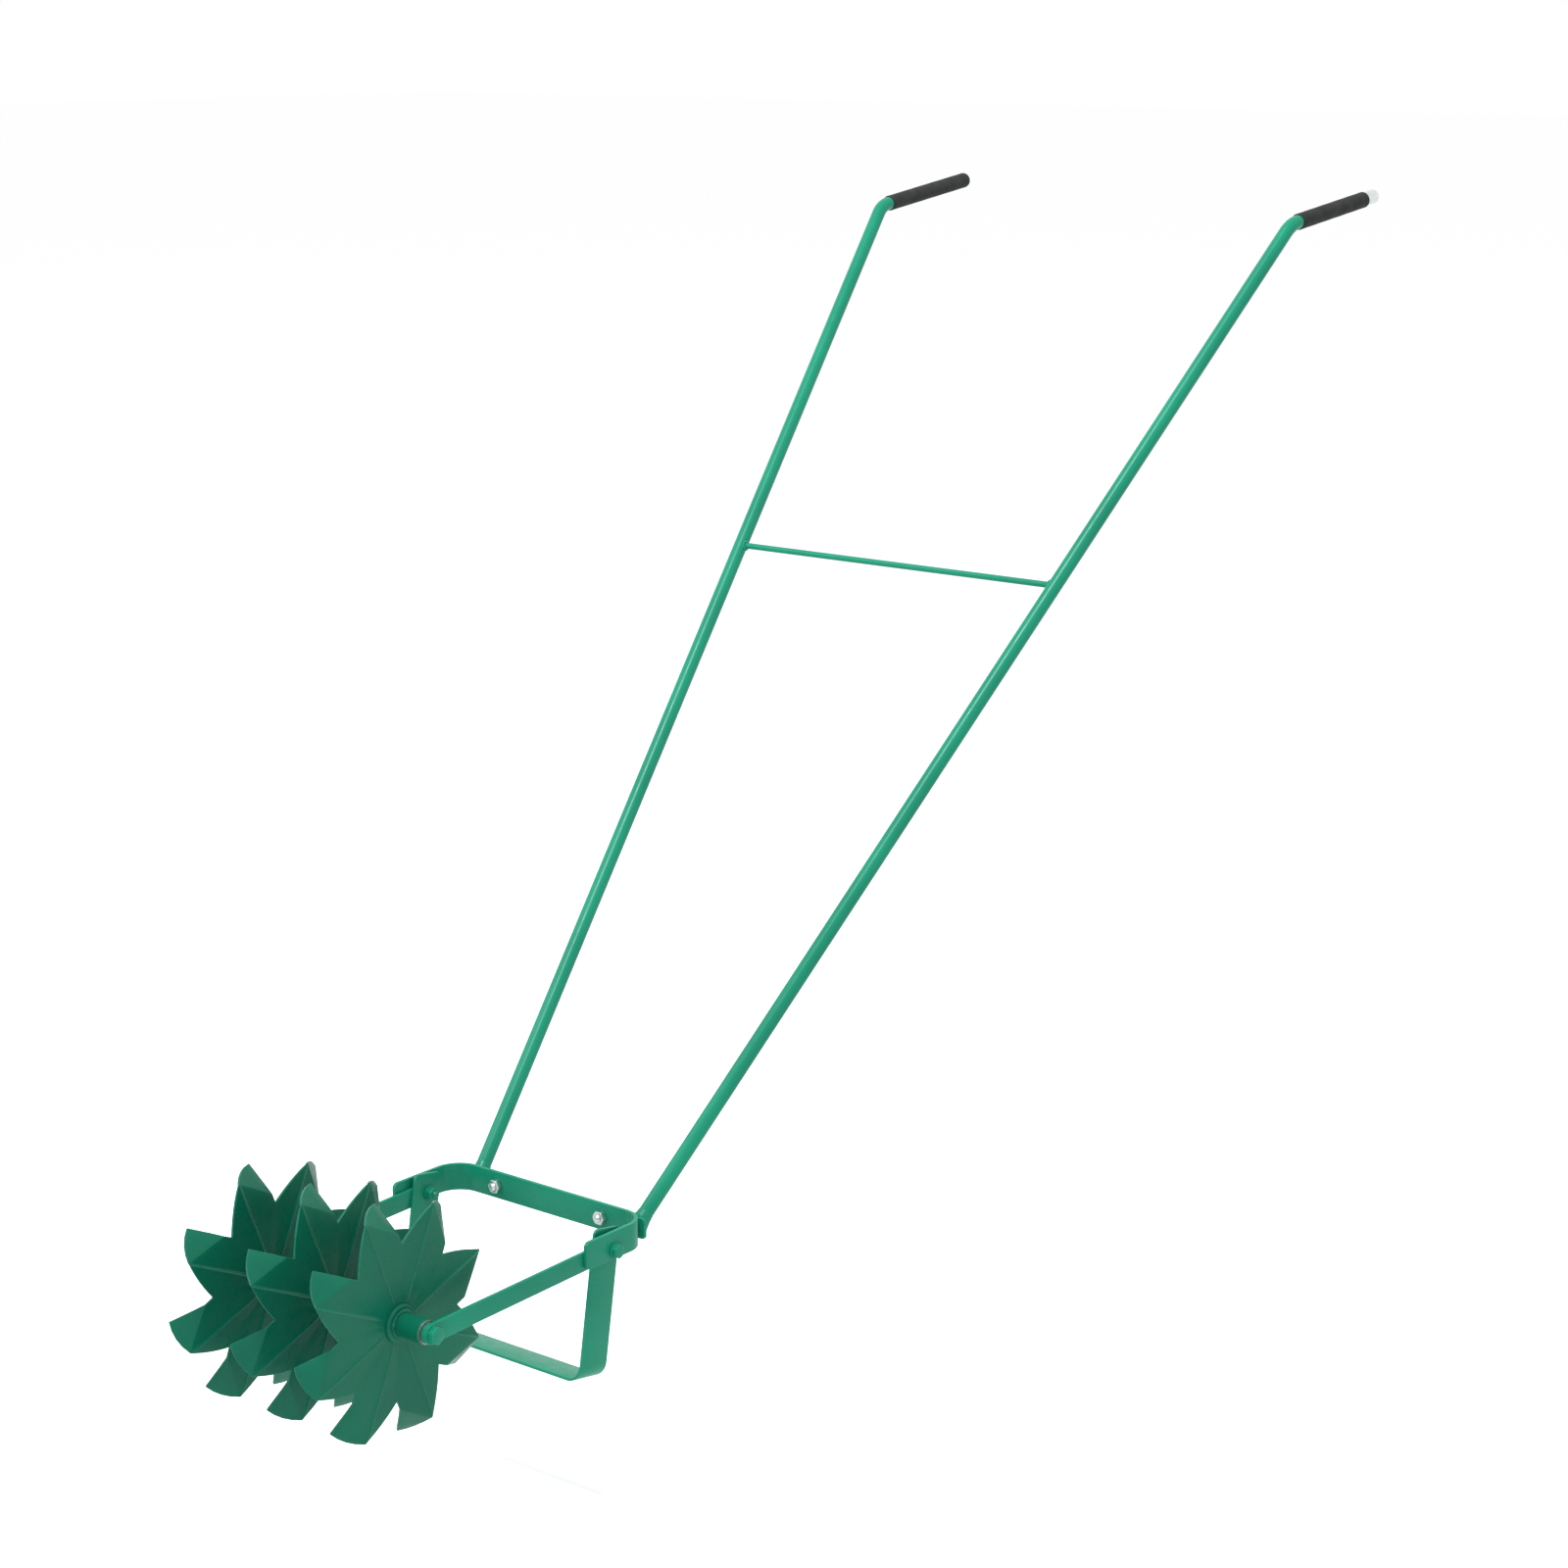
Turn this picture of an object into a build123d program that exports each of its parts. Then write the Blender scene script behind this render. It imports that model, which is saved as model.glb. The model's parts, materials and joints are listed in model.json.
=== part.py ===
from build123d import *
import math
import os

# Star-wheel rotary cultivator with a trailing stirrup blade and two tube handles.
# Millimetres, +Z up, X along the axle, -Y is the direction of travel, +X is the user's left.
# The model is drawn from the axle's centre and shifted at the end, so that the
# cross rod's centre, where the tool is carried and hung up, is the origin.

# Rotor: stamped star wheels on one hub tube
WHEEL_SIDES = {"left": 1, "middle": 0, "right": -1}
WHEEL_PITCH = 86.5
SHEET = 2.5
TEETH = 8
TIP_R = 119.0
CORNER_R = 117.0
VALLEY_R = 78.0
TIP_ANGLE = -5.0
CORNER_LAG = 15.0
VALLEY_LEAD = 9.5
TIP_BEND = 18.0
RIM_BULGE = 3.5
FOLD_SHARE = 0.25
FOLD_LAP = 0.02
RIB_WIDTH = 6.0
RIB_HEIGHT = 1.4
RIB_FOOT_R = 24.0
RIB_STOP = 14.0
HUB_R = 12.0
HUB_BORE_R = 9.0
COLLAR_R = 19.0
COLLAR_DEPTH = 4.0
BUSH_LENGTH = 22.0
BUSH_FLANGE_R = 11.5
BUSH_FLANGE = 2.0
AXLE_R = 5.0

# Fits
RUNNING_GAP = 0.05
PIVOT_GAP = 0.08
PRESS_GAP = 0.02
HOLE_GAP = 0.2
LAYER_GAP = 0.3

# Side joints: bracket arm outside, front arm next to it, stirrup leg inside
BRACKET_HALF_WIDTH = 135.0
STRAP = 4.0
BLADE_STRAP = 3.0
PIVOT_Y = 254.0
PIVOT_Z = 6.0
PIVOT_R = 4.0

# U bracket
BRACKET_HEIGHT = 29.0
BRACKET_Z = 11.5
BRACKET_FRONT_Y = 212.0
BRACKET_REAR_Y = 308.0
BRACKET_CORNER_R = 30.0
BRACKET_NOSE_R = 6.0

# Front arms
ARM_HEIGHT = 20.0

# Stirrup blade
BLADE_WIDTH = 38.0
BLADE_FORWARD = 23.0
BLADE_DROP = 137.0
BLADE_RISE = 21.5
BLADE_CORNER_R = 18.0
BLADE_HEAD_R = 6.0
BLADE_LEAN = 9.5

# Handle strap and its two bolts
HANDLE_STRAP_HALF = 127.0
HANDLE_STRAP_HEIGHT = 22.0
HANDLE_STRAP_Z = 9.0
HANDLE_STRAP_CORNER = 4.0
STRAP_BOLT_X = 73.0
STRAP_BOLT_R = 4.0

# Handle tubes, cross rod and grips
TUBE_R = 8.0
TUBE_WALL = 1.5
TUBE_FOOT = (112.5, 321.0, 13.7)
TUBE_BEND = (289.5, 1254.0, 971.7)
TUBE_END = (294.3, 1435.5, 995.3)
TUBE_BEND_R = 36.0
ROD_R = 3.5
ROD_Z = 599.0
GRIP_WALL = 1.3
GRIP_START = 15.0
BARE_END = 23.0
PLUG_SHANK = 18.0
GRIP_CAP = 3.0
WELD_FOOT_R = 12.5
WELD_TOP_R = 8.4
WELD_LENGTH = 20.0
ROD_WELD_R = 6.0
ROD_WELD_LENGTH = 5.0

# Fasteners as (across flats, thickness)
NUT_M8 = (13.0, 6.5)
HEAD_M8 = (13.0, 5.5)
NUT_M10 = (17.0, 8.0)
HEAD_M10 = (16.0, 6.4)
WASHER_THICK = 1.6
WASHER_M8_R = 8.0
WASHER_M10_R = 10.0
THREAD_END = 3.0
BIG = 400.0


def vector(point):
    """A build123d vector from a tuple."""
    return Vector(*point)


ROD_SHARE = (ROD_Z - TUBE_FOOT[2]) / (TUBE_BEND[2] - TUBE_FOOT[2])
ROD_X = TUBE_FOOT[0] + ROD_SHARE * (TUBE_BEND[0] - TUBE_FOOT[0])
ROD_Y = TUBE_FOOT[1] + ROD_SHARE * (TUBE_BEND[1] - TUBE_FOOT[1])
ARM_OUTER_X = BRACKET_HALF_WIDTH - STRAP - LAYER_GAP
ARM_INNER_X = ARM_OUTER_X - STRAP
BLADE_OUTER_X = ARM_INNER_X - LAYER_GAP
BLADE_INNER_X = BLADE_OUTER_X - BLADE_STRAP
STRAP_REAR_Y = BRACKET_REAR_Y + STRAP
BRACKET_FACE_Y = BRACKET_REAR_Y - STRAP
STRAP_FOOT_Z = HANDLE_STRAP_Z - HANDLE_STRAP_HEIGHT / 2
HUB_END_X = ARM_INNER_X - WASHER_THICK - LAYER_GAP - BUSH_FLANGE
CLIMB = (vector(TUBE_BEND) - vector(TUBE_FOOT)).normalized()
REACH = (vector(TUBE_END) - vector(TUBE_BEND)).normalized()
GRIP_RUN = (vector(TUBE_END) - vector(TUBE_BEND)).length
TUBE_START = vector(TUBE_FOOT) - CLIMB * (2.5 * TUBE_R)


def save(name, solid):
    """Write one node, moved so that the cross rod's centre is the origin."""
    export_step(Pos(0, -ROD_Y, -ROD_Z) * solid, f"parts/{name}.step")


def save_pair(name, solid):
    """Write a left-hand piece and its mirror image on the right."""
    save(f"{name}_left", solid)
    save(f"{name}_right", mirror(solid, about=Plane.YZ))


def rod_x(radius, start, end, y=0.0, z=0.0):
    """Round bar along X between two X positions."""
    length = end - start
    return Pos(start + length / 2, y, z) * Cylinder(radius, length, rotation=(0, 90, 0))


def rod_y(radius, start, end, x=0.0, z=0.0):
    """Round bar along Y between two Y positions."""
    length = end - start
    return Pos(x, start + length / 2, z) * Cylinder(radius, length, rotation=(90, 0, 0))


def ring_x(outer, inner, start, end, y=0.0, z=0.0):
    """Round tube or washer along X."""
    return rod_x(outer, start, end, y, z) - rod_x(inner, start - 1, end + 1, y, z)


def hex_x(size, start, y=0.0, z=0.0):
    """Hexagon along +X, given as (across flats, thickness)."""
    outline = RegularPolygon(size[0] / 2, 6, major_radius=False)
    return Pos(start, y, z) * extrude(Plane.YZ * outline, size[1])


def hex_y(size, start, x, z):
    """Hexagon along +Y, given as (across flats, thickness)."""
    outline = RegularPolygon(size[0] / 2, 6, major_radius=False)
    return Pos(x, start + size[1], z) * extrude(Plane.XZ * outline, size[1])


def along(origin, heading, outline, length):
    """A flat outline carried from a point along a heading."""
    return extrude(Plane(origin=origin, z_dir=heading) * outline, length)


def wheel_point(radius, angle):
    """Point on a wheel as (y, z); 0 degrees is forward and 90 degrees is up."""
    turn = math.radians(angle)
    return (-radius * math.cos(turn), radius * math.sin(turn))


def between(start, end, share):
    """Point part of the way from one point to another."""
    return tuple(a + share * (b - a) for a, b in zip(start, end))


def tooth_points(index):
    """Outer corner, bent tip, valley and fold end of one tooth."""
    angle = TIP_ANGLE + index * 360.0 / TEETH
    corner = wheel_point(CORNER_R, angle - CORNER_LAG)
    tip = wheel_point(TIP_R, angle)
    valley = wheel_point(VALLEY_R, angle + VALLEY_LEAD)
    fold = between(valley, tip, FOLD_SHARE)
    return corner, tip, valley, fold


def bent_corner(index):
    """The triangular corner of one tooth, bent over towards the tool's right."""
    corner, tip, _, fold = tooth_points(index)
    lap_corner = between(corner, (0.0, 0.0), FOLD_LAP)
    lap_fold = between(fold, (0.0, 0.0), FOLD_LAP)
    start, turn, point = Vector(0, *lap_corner), Vector(0, *lap_fold), Vector(-TIP_BEND, *tip)
    middle = (start + point) * 0.5
    chord = (point - start).normalized()
    outward = middle - turn
    outward = (outward - chord * outward.dot(chord)).normalized()
    rim = ThreePointArc(start, middle + outward * RIM_BULGE, point)
    face = make_face(Line(point, turn) + Line(turn, start) + rim)
    return extrude(face, SHEET / 2, both=True)


def tooth_rib(index):
    """Pressed rib from the hub towards the outer corner where one tooth's fold ends."""
    length = CORNER_R - RIB_STOP - RIB_FOOT_R
    turn = TIP_ANGLE + index * 360.0 / TEETH - CORNER_LAG
    half = RIB_WIDTH / 2
    section = make_face(Polyline((0, -half), (0, half), (RIB_HEIGHT, 0), close=True))
    bar = Pos(SHEET / 2 - LAYER_GAP, 0, RIB_FOOT_R) * extrude(section, length)
    return Rot(90 - turn, 0, 0) * bar


def star_wheel():
    """One stamped wheel at X = 0: flat star, bent corners, ribs and hub hole."""
    outline = []
    for index in range(TEETH):
        corner, _, valley, fold = tooth_points(index)
        outline += [corner, fold, valley]
    star = make_face(Polyline(*outline, close=True))
    wheel = extrude(Plane.YZ * star, SHEET / 2, both=True)
    for index in range(TEETH):
        wheel += bent_corner(index)
        wheel += tooth_rib(index)
    return wheel - rod_x(HUB_R + PRESS_GAP, -WHEEL_PITCH / 2, WHEEL_PITCH / 2)


def hub_tube():
    """The tube that carries the wheels."""
    return ring_x(HUB_R, HUB_BORE_R, -HUB_END_X, HUB_END_X)


def hub_collar(side):
    """Welded collar that holds one wheel square to the hub tube."""
    start = side * WHEEL_PITCH + SHEET / 2
    return ring_x(COLLAR_R, HUB_R + PRESS_GAP, start, start + COLLAR_DEPTH)


def hub_bush():
    """Left flanged bush: a running fit on the axle, pressed into the hub tube."""
    bore = AXLE_R + RUNNING_GAP
    body = ring_x(HUB_BORE_R - PRESS_GAP, bore, HUB_END_X - BUSH_LENGTH, HUB_END_X)
    return body + ring_x(BUSH_FLANGE_R, bore, HUB_END_X, HUB_END_X + BUSH_FLANGE)


def axle_bolt():
    """Long bolt through both front arms, with its head on the left."""
    seat = ARM_OUTER_X + WASHER_THICK
    end = -(seat + NUT_M10[1] + THREAD_END)
    return rod_x(AXLE_R, end, seat) + hex_x(HEAD_M10, seat)


def axle_nut():
    """Nut on the right end of the axle bolt."""
    start = -(ARM_OUTER_X + WASHER_THICK + NUT_M10[1])
    return hex_x(NUT_M10, start) - rod_x(AXLE_R, start - 1, -ARM_OUTER_X)


def axle_washers():
    """Four plain washers, outside and inside each front arm."""
    washers = []
    for start in (ARM_OUTER_X, ARM_INNER_X - WASHER_THICK):
        ring = ring_x(WASHER_M10_R, AXLE_R + PRESS_GAP, start, start + WASHER_THICK)
        washers += [ring, mirror(ring, about=Plane.YZ)]
    return Compound(washers)


def front_arm():
    """Left flat bar from the axle back to the side joint."""
    run = math.hypot(PIVOT_Y, PIVOT_Z)
    tilt = math.degrees(math.atan2(PIVOT_Z, PIVOT_Y))
    slot = Rot(0, 0, tilt) * (Pos(run / 2, 0) * SlotCenterToCenter(run, ARM_HEIGHT))
    bar = Pos(ARM_INNER_X, 0, 0) * extrude(Plane.YZ * slot, STRAP)
    bar -= rod_x(AXLE_R + HOLE_GAP, 0, BIG)
    return bar - rod_x(PIVOT_R + PIVOT_GAP, 0, BIG, PIVOT_Y, PIVOT_Z)


def rounded_u(half_width, near, far, corner, wall):
    """Flat U outline, open towards its near side, with two rounded corners."""
    depth = far - near
    outer = Pos(0, near + depth / 2) * Rectangle(2 * half_width, depth)
    outer = fillet(outer.vertices().group_by(Axis.Y)[-1], corner)
    inner = Pos(0, near + (depth - wall) / 2) * Rectangle(2 * (half_width - wall), depth - wall)
    inner = fillet(inner.vertices().group_by(Axis.Y)[-1], corner - wall)
    return outer - inner


def u_bracket():
    """Flat strap bent in a U, its wide face upright, drilled at sides and back."""
    outline = rounded_u(
        BRACKET_HALF_WIDTH, BRACKET_FRONT_Y, BRACKET_REAR_Y, BRACKET_CORNER_R, STRAP
    )
    strap = Pos(0, 0, BRACKET_Z - BRACKET_HEIGHT / 2) * extrude(outline, BRACKET_HEIGHT)
    noses = strap.edges().filter_by(Axis.X).group_by(Axis.Y)[0]
    strap = fillet(noses, BRACKET_NOSE_R)
    strap -= rod_x(PIVOT_R + HOLE_GAP, -BIG, BIG, PIVOT_Y, PIVOT_Z)
    for x in (-STRAP_BOLT_X, STRAP_BOLT_X):
        strap -= rod_y(STRAP_BOLT_R + HOLE_GAP, 0, BIG, x, BRACKET_Z)
    return strap


def stirrup_blade():
    """Flat strap bent in a U that hangs from the side joints."""
    outline = rounded_u(BLADE_OUTER_X, -BLADE_RISE, BLADE_DROP, BLADE_CORNER_R, BLADE_STRAP)
    strap = extrude(outline, BLADE_WIDTH)
    strap = Pos(0, -BLADE_FORWARD, 0) * (Rot(-90, 0, 0) * strap)
    heads = strap.edges().filter_by(Axis.X).group_by(Axis.Z)[-1]
    strap = fillet(heads, BLADE_HEAD_R)
    strap -= rod_x(PIVOT_R + PIVOT_GAP, -BIG, BIG)
    return Pos(0, PIVOT_Y, PIVOT_Z) * (Rot(-BLADE_LEAN, 0, 0) * strap)


def side_bolt():
    """Left bolt through bracket arm, front arm and stirrup leg."""
    seat = BRACKET_HALF_WIDTH + WASHER_THICK
    end = BLADE_INNER_X - LAYER_GAP - WASHER_THICK - NUT_M8[1] - THREAD_END
    shank = rod_x(PIVOT_R, end, seat, PIVOT_Y, PIVOT_Z)
    return shank + hex_x(HEAD_M8, seat, PIVOT_Y, PIVOT_Z)


def side_nut():
    """Nut on the inner end of the left side bolt."""
    start = BLADE_INNER_X - LAYER_GAP - WASHER_THICK - NUT_M8[1]
    nut = hex_x(NUT_M8, start, PIVOT_Y, PIVOT_Z)
    return nut - rod_x(PIVOT_R, start - 1, BRACKET_HALF_WIDTH, PIVOT_Y, PIVOT_Z)


def side_washers():
    """Four plain washers under the heads and nuts of the side bolts."""
    washers = []
    for start in (BRACKET_HALF_WIDTH, BLADE_INNER_X - LAYER_GAP - WASHER_THICK):
        end = start + WASHER_THICK
        ring = ring_x(WASHER_M8_R, PIVOT_R + PRESS_GAP, start, end, PIVOT_Y, PIVOT_Z)
        washers += [ring, mirror(ring, about=Plane.YZ)]
    return Compound(washers)


def handle_strap():
    """Flat bar behind the bracket that joins the two handle tubes."""
    outline = RectangleRounded(2 * HANDLE_STRAP_HALF, HANDLE_STRAP_HEIGHT, HANDLE_STRAP_CORNER)
    bar = extrude(Plane.XZ * outline, STRAP)
    bar = Pos(0, STRAP_REAR_Y, HANDLE_STRAP_Z) * bar
    for x in (-STRAP_BOLT_X, STRAP_BOLT_X):
        bar -= rod_y(STRAP_BOLT_R + HOLE_GAP, 0, BIG, x, BRACKET_Z)
    return bar


def strap_bolts():
    """Two bolts through strap and bracket, heads at the back."""
    bolts = []
    end = BRACKET_FACE_Y - NUT_M8[1] - THREAD_END
    for x in (-STRAP_BOLT_X, STRAP_BOLT_X):
        shank = rod_y(STRAP_BOLT_R, end, STRAP_REAR_Y, x, BRACKET_Z)
        bolts.append(shank + hex_y(HEAD_M8, STRAP_REAR_Y, x, BRACKET_Z))
    return Compound(bolts)


def strap_nuts():
    """The two bright nuts on the bracket's front face."""
    nuts = []
    start = BRACKET_FACE_Y - NUT_M8[1]
    for x in (-STRAP_BOLT_X, STRAP_BOLT_X):
        hole = rod_y(STRAP_BOLT_R, start - 1, BRACKET_FACE_Y + 1, x, BRACKET_Z)
        nuts.append(hex_y(NUT_M8, start, x, BRACKET_Z) - hole)
    return Compound(nuts)


def behind_strap():
    """The space behind the handle strap and above its lower edge."""
    corner = Pos(0, STRAP_REAR_Y + BIG, STRAP_FOOT_Z + BIG)
    return corner * Box(4 * BIG, 2 * BIG, 2 * BIG)


def tube_path():
    """Centre line of the left handle tube, up to where its end plug starts."""
    end = vector(TUBE_END) - REACH * BARE_END
    return FilletPolyline(TUBE_START, vector(TUBE_BEND), end, radius=TUBE_BEND_R)


def swept_tube(outer, inner):
    """The handle tube's full length with the given radii."""
    section = Circle(outer) - Circle(inner) if inner else Circle(outer)
    start = Plane(origin=TUBE_START, z_dir=CLIMB)
    return sweep(start * section, path=tube_path())


def trimmed_foot(solid):
    """Cut a tube or weld flush with the strap's back face and lower edge."""
    foot = Pos(0, STRAP_REAR_Y, 0) * Box(4 * BIG, 8 * TUBE_R, 8 * TUBE_R)
    return solid - (foot - behind_strap())


def handle_tube():
    """Left handle tube, cut to sit against the back of the handle strap."""
    return trimmed_foot(swept_tube(TUBE_R, TUBE_R - TUBE_WALL))


def tube_weld():
    """Fillet of weld round the foot of the left tube."""
    start = TUBE_START + CLIMB * TUBE_R
    bead = Plane(origin=start + CLIMB * (WELD_LENGTH / 2), z_dir=CLIMB) * Cone(
        WELD_FOOT_R, WELD_TOP_R, WELD_LENGTH
    )
    bead -= along(start - CLIMB, CLIMB, Circle(TUBE_R + PRESS_GAP), WELD_LENGTH + TUBE_R)
    return trimmed_foot(bead)


def tube_core():
    """Solid of the left tube's outside, used to fit the cross rod to it."""
    return along(vector(TUBE_FOOT), CLIMB, Circle(TUBE_R + PRESS_GAP), 3 * BIG)


def cross_rod():
    """Thin round rod between the two tubes, cut to their curve."""
    rod = rod_x(ROD_R, -ROD_X, ROD_X, ROD_Y, ROD_Z)
    core = tube_core()
    return rod - core - mirror(core, about=Plane.YZ)


def rod_weld():
    """Small cone of weld where the cross rod meets the left tube."""
    end = ROD_X - TUBE_R / 2
    start = ROD_X - TUBE_R - ROD_WELD_LENGTH
    middle = (start + end) / 2
    bead = Cone(ROD_R + PRESS_GAP, ROD_WELD_R, end - start, rotation=(0, 90, 0))
    bead = Pos(middle, ROD_Y, ROD_Z) * bead
    bead -= rod_x(ROD_R + PRESS_GAP, start - 1, ROD_X, ROD_Y, ROD_Z)
    return bead - tube_core()


def end_plug():
    """Bare metal plug in the left tube's end, showing past the grip."""
    start = vector(TUBE_END) - REACH * BARE_END
    plug = along(start, REACH, Circle(TUBE_R), BARE_END)
    rim = plug.edges().sort_by(Axis.Y)[-1]
    plug = fillet(rim, TUBE_WALL)
    shank = along(start - REACH * PLUG_SHANK, REACH, Circle(TUBE_R - TUBE_WALL - PRESS_GAP), PLUG_SHANK)
    return plug + shank


def grip(length):
    """Soft sleeve on the straight end of the left tube."""
    start = vector(TUBE_BEND) + REACH * GRIP_START
    sleeve = Circle(TUBE_R + GRIP_WALL) - Circle(TUBE_R + PRESS_GAP)
    return along(start, REACH, sleeve, length)


def closed_grip():
    """Sleeve that also covers the tube's end."""
    length = GRIP_RUN - GRIP_START + PRESS_GAP
    cap = along(vector(TUBE_END) + REACH * PRESS_GAP, REACH, Circle(TUBE_R + GRIP_WALL), GRIP_CAP)
    return grip(length) + cap


def save_rotor():
    """Wheels, hub tube, collars and bushes."""
    wheel = star_wheel()
    for name, side in WHEEL_SIDES.items():
        save(f"star_wheel_{name}", Pos(side * WHEEL_PITCH, 0, 0) * wheel)
        save(f"hub_collar_{name}", hub_collar(side))
    save("hub_tube", hub_tube())
    save_pair("hub_bush", hub_bush())


def save_front():
    """Front arms, axle and its fasteners."""
    save_pair("front_arm", front_arm())
    save("axle_bolt", axle_bolt())
    save("axle_nut", axle_nut())
    save("axle_washers", axle_washers())


def save_bracket():
    """Bracket, side bolts, stirrup blade and handle strap."""
    save("u_bracket", u_bracket())
    save("stirrup_blade", stirrup_blade())
    save_pair("side_bolt", side_bolt())
    save_pair("side_nut", side_nut())
    save("side_washers", side_washers())
    save("handle_strap", handle_strap())
    save("strap_bolts", strap_bolts())
    save("strap_nuts", strap_nuts())


def save_handles():
    """Tubes, welds, cross rod, plugs and grips."""
    save_pair("handle_tube", handle_tube())
    save_pair("tube_weld", tube_weld())
    save("cross_rod", cross_rod())
    save_pair("rod_weld", rod_weld())
    save_pair("end_plug", end_plug())
    save("grip_left", grip(GRIP_RUN - GRIP_START - BARE_END))
    save("grip_right", mirror(closed_grip(), about=Plane.YZ))


os.makedirs("parts", exist_ok=True)
save_rotor()
save_front()
save_bracket()
save_handles()
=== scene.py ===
"""Looks of a star-wheel rotary cultivator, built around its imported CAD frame.

The tool is a rotor of three stamped star wheels between two front arms, a U-shaped bracket
with a trailing stirrup blade, and two splayed tube handles with a cross rod and soft grips.
Metres, +Z up, X along the axle with +X on the user's left, -Y the direction of travel.
"""

import json
import logging
import math
from dataclasses import dataclass, field
from enum import Enum
from typing import Callable, Optional, Sequence

import bmesh
import bpy
from mathutils import Matrix, Vector

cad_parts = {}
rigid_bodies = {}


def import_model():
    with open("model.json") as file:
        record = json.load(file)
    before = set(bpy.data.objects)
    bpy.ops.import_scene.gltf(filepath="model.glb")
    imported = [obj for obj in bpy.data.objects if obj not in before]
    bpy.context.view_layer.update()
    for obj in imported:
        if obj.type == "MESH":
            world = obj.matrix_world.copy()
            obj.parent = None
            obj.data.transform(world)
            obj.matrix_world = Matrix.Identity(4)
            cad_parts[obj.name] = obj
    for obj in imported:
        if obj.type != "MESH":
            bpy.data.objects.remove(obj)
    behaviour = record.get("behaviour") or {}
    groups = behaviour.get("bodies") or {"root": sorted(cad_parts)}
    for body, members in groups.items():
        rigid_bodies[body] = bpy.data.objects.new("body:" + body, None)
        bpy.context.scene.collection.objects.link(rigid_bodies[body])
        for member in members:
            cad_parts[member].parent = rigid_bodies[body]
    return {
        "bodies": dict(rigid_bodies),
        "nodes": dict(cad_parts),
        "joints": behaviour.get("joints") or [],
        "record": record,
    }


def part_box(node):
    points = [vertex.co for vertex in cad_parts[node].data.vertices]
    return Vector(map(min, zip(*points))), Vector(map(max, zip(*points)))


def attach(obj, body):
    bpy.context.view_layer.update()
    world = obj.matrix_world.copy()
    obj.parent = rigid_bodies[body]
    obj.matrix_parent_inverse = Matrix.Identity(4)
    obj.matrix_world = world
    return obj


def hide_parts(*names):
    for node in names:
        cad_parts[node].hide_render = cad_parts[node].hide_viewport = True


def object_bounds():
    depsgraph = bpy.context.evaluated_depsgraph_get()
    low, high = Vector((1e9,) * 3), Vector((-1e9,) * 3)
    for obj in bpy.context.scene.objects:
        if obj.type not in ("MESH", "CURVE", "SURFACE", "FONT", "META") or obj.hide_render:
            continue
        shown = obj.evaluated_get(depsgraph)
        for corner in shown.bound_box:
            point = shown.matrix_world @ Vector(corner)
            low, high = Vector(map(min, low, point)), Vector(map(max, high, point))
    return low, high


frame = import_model()
CAD_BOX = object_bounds()
LOG = logging.getLogger("cultivator")

SMOOTH_ANGLE = math.radians(32.0)
WELD_DISTANCE = 0.00002
X_AXIS = Vector((1.0, 0.0, 0.0))
Y_AXIS = Vector((0.0, 1.0, 0.0))
Z_AXIS = Vector((0.0, 0.0, 1.0))


class Slot(Enum):
    """Material slots of the record."""

    GREEN = "green_paint"
    GRIP = "grip_black"
    PLATED = "plated_steel"
    PLAIN = "plain_steel"


class Body(Enum):
    """Rigid bodies of the record."""

    HANDLE = "handle"
    FRONT = "front"
    BLADE = "blade"
    ROTOR = "rotor"


# ----------------------------------------------------------------------------- node trees


class Graph:
    """Short calls for building a node tree."""

    def __init__(self, tree: bpy.types.NodeTree) -> None:
        """Keep the tree that nodes are added to."""
        self.tree = tree

    def add(self, kind: str, inputs: Optional[dict] = None, **settings: object) -> bpy.types.Node:
        """Add one node.

        Args:
            kind: Blender's name of the node type.
            inputs: Values or sockets by input name or number.
            **settings: Properties of the node itself.

        Returns:
            The new node.
        """
        node = self.tree.nodes.new(kind)
        for name, value in settings.items():
            setattr(node, name, value)
        for name, value in (inputs or {}).items():
            if isinstance(value, bpy.types.NodeSocket):
                self.tree.links.new(value, node.inputs[name])
            else:
                node.inputs[name].default_value = value
        return node

    def noise(self, where: bpy.types.NodeSocket, scale: float, detail: float = 3.0) -> bpy.types.NodeSocket:
        """Noise on a vector socket, as a socket from 0 to 1."""
        node = self.add("ShaderNodeTexNoise", {"Vector": where, "Scale": scale, "Detail": detail})
        return node.outputs["Fac"]

    def span(self, value: bpy.types.NodeSocket, source: tuple, target: tuple) -> bpy.types.NodeSocket:
        """Map one range of numbers to another, clamped."""
        node = self.add(
            "ShaderNodeMapRange",
            {0: value, 1: source[0], 2: source[1], 3: target[0], 4: target[1]},
        )
        return node.outputs[0]

    def math(self, operation: str, first: object, second: object) -> bpy.types.NodeSocket:
        """One arithmetic step on two numbers or sockets."""
        return self.add("ShaderNodeMath", {0: first, 1: second}, operation=operation).outputs[0]

    def blend(self, share: bpy.types.NodeSocket, first: object, second: object) -> bpy.types.NodeSocket:
        """Mix two colours by a share."""
        node = self.add("ShaderNodeMix", {0: share, 6: first, 7: second}, data_type="RGBA")
        return node.outputs[2]

    def relief(self, height: bpy.types.NodeSocket, strength: float, depth: float) -> bpy.types.NodeSocket:
        """A bumped normal from a height."""
        node = self.add("ShaderNodeBump", {"Strength": strength, "Distance": depth, "Height": height})
        return node.outputs[0]

    def wire(self, node: bpy.types.Node, **values: bpy.types.NodeSocket) -> None:
        """Link sockets to a node's inputs.

        Args:
            node: Node that takes the values.
            **values: Sockets by input name, with _ for a space.
        """
        for name, value in values.items():
            self.tree.links.new(value, node.inputs[name.replace("_", " ")])


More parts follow.
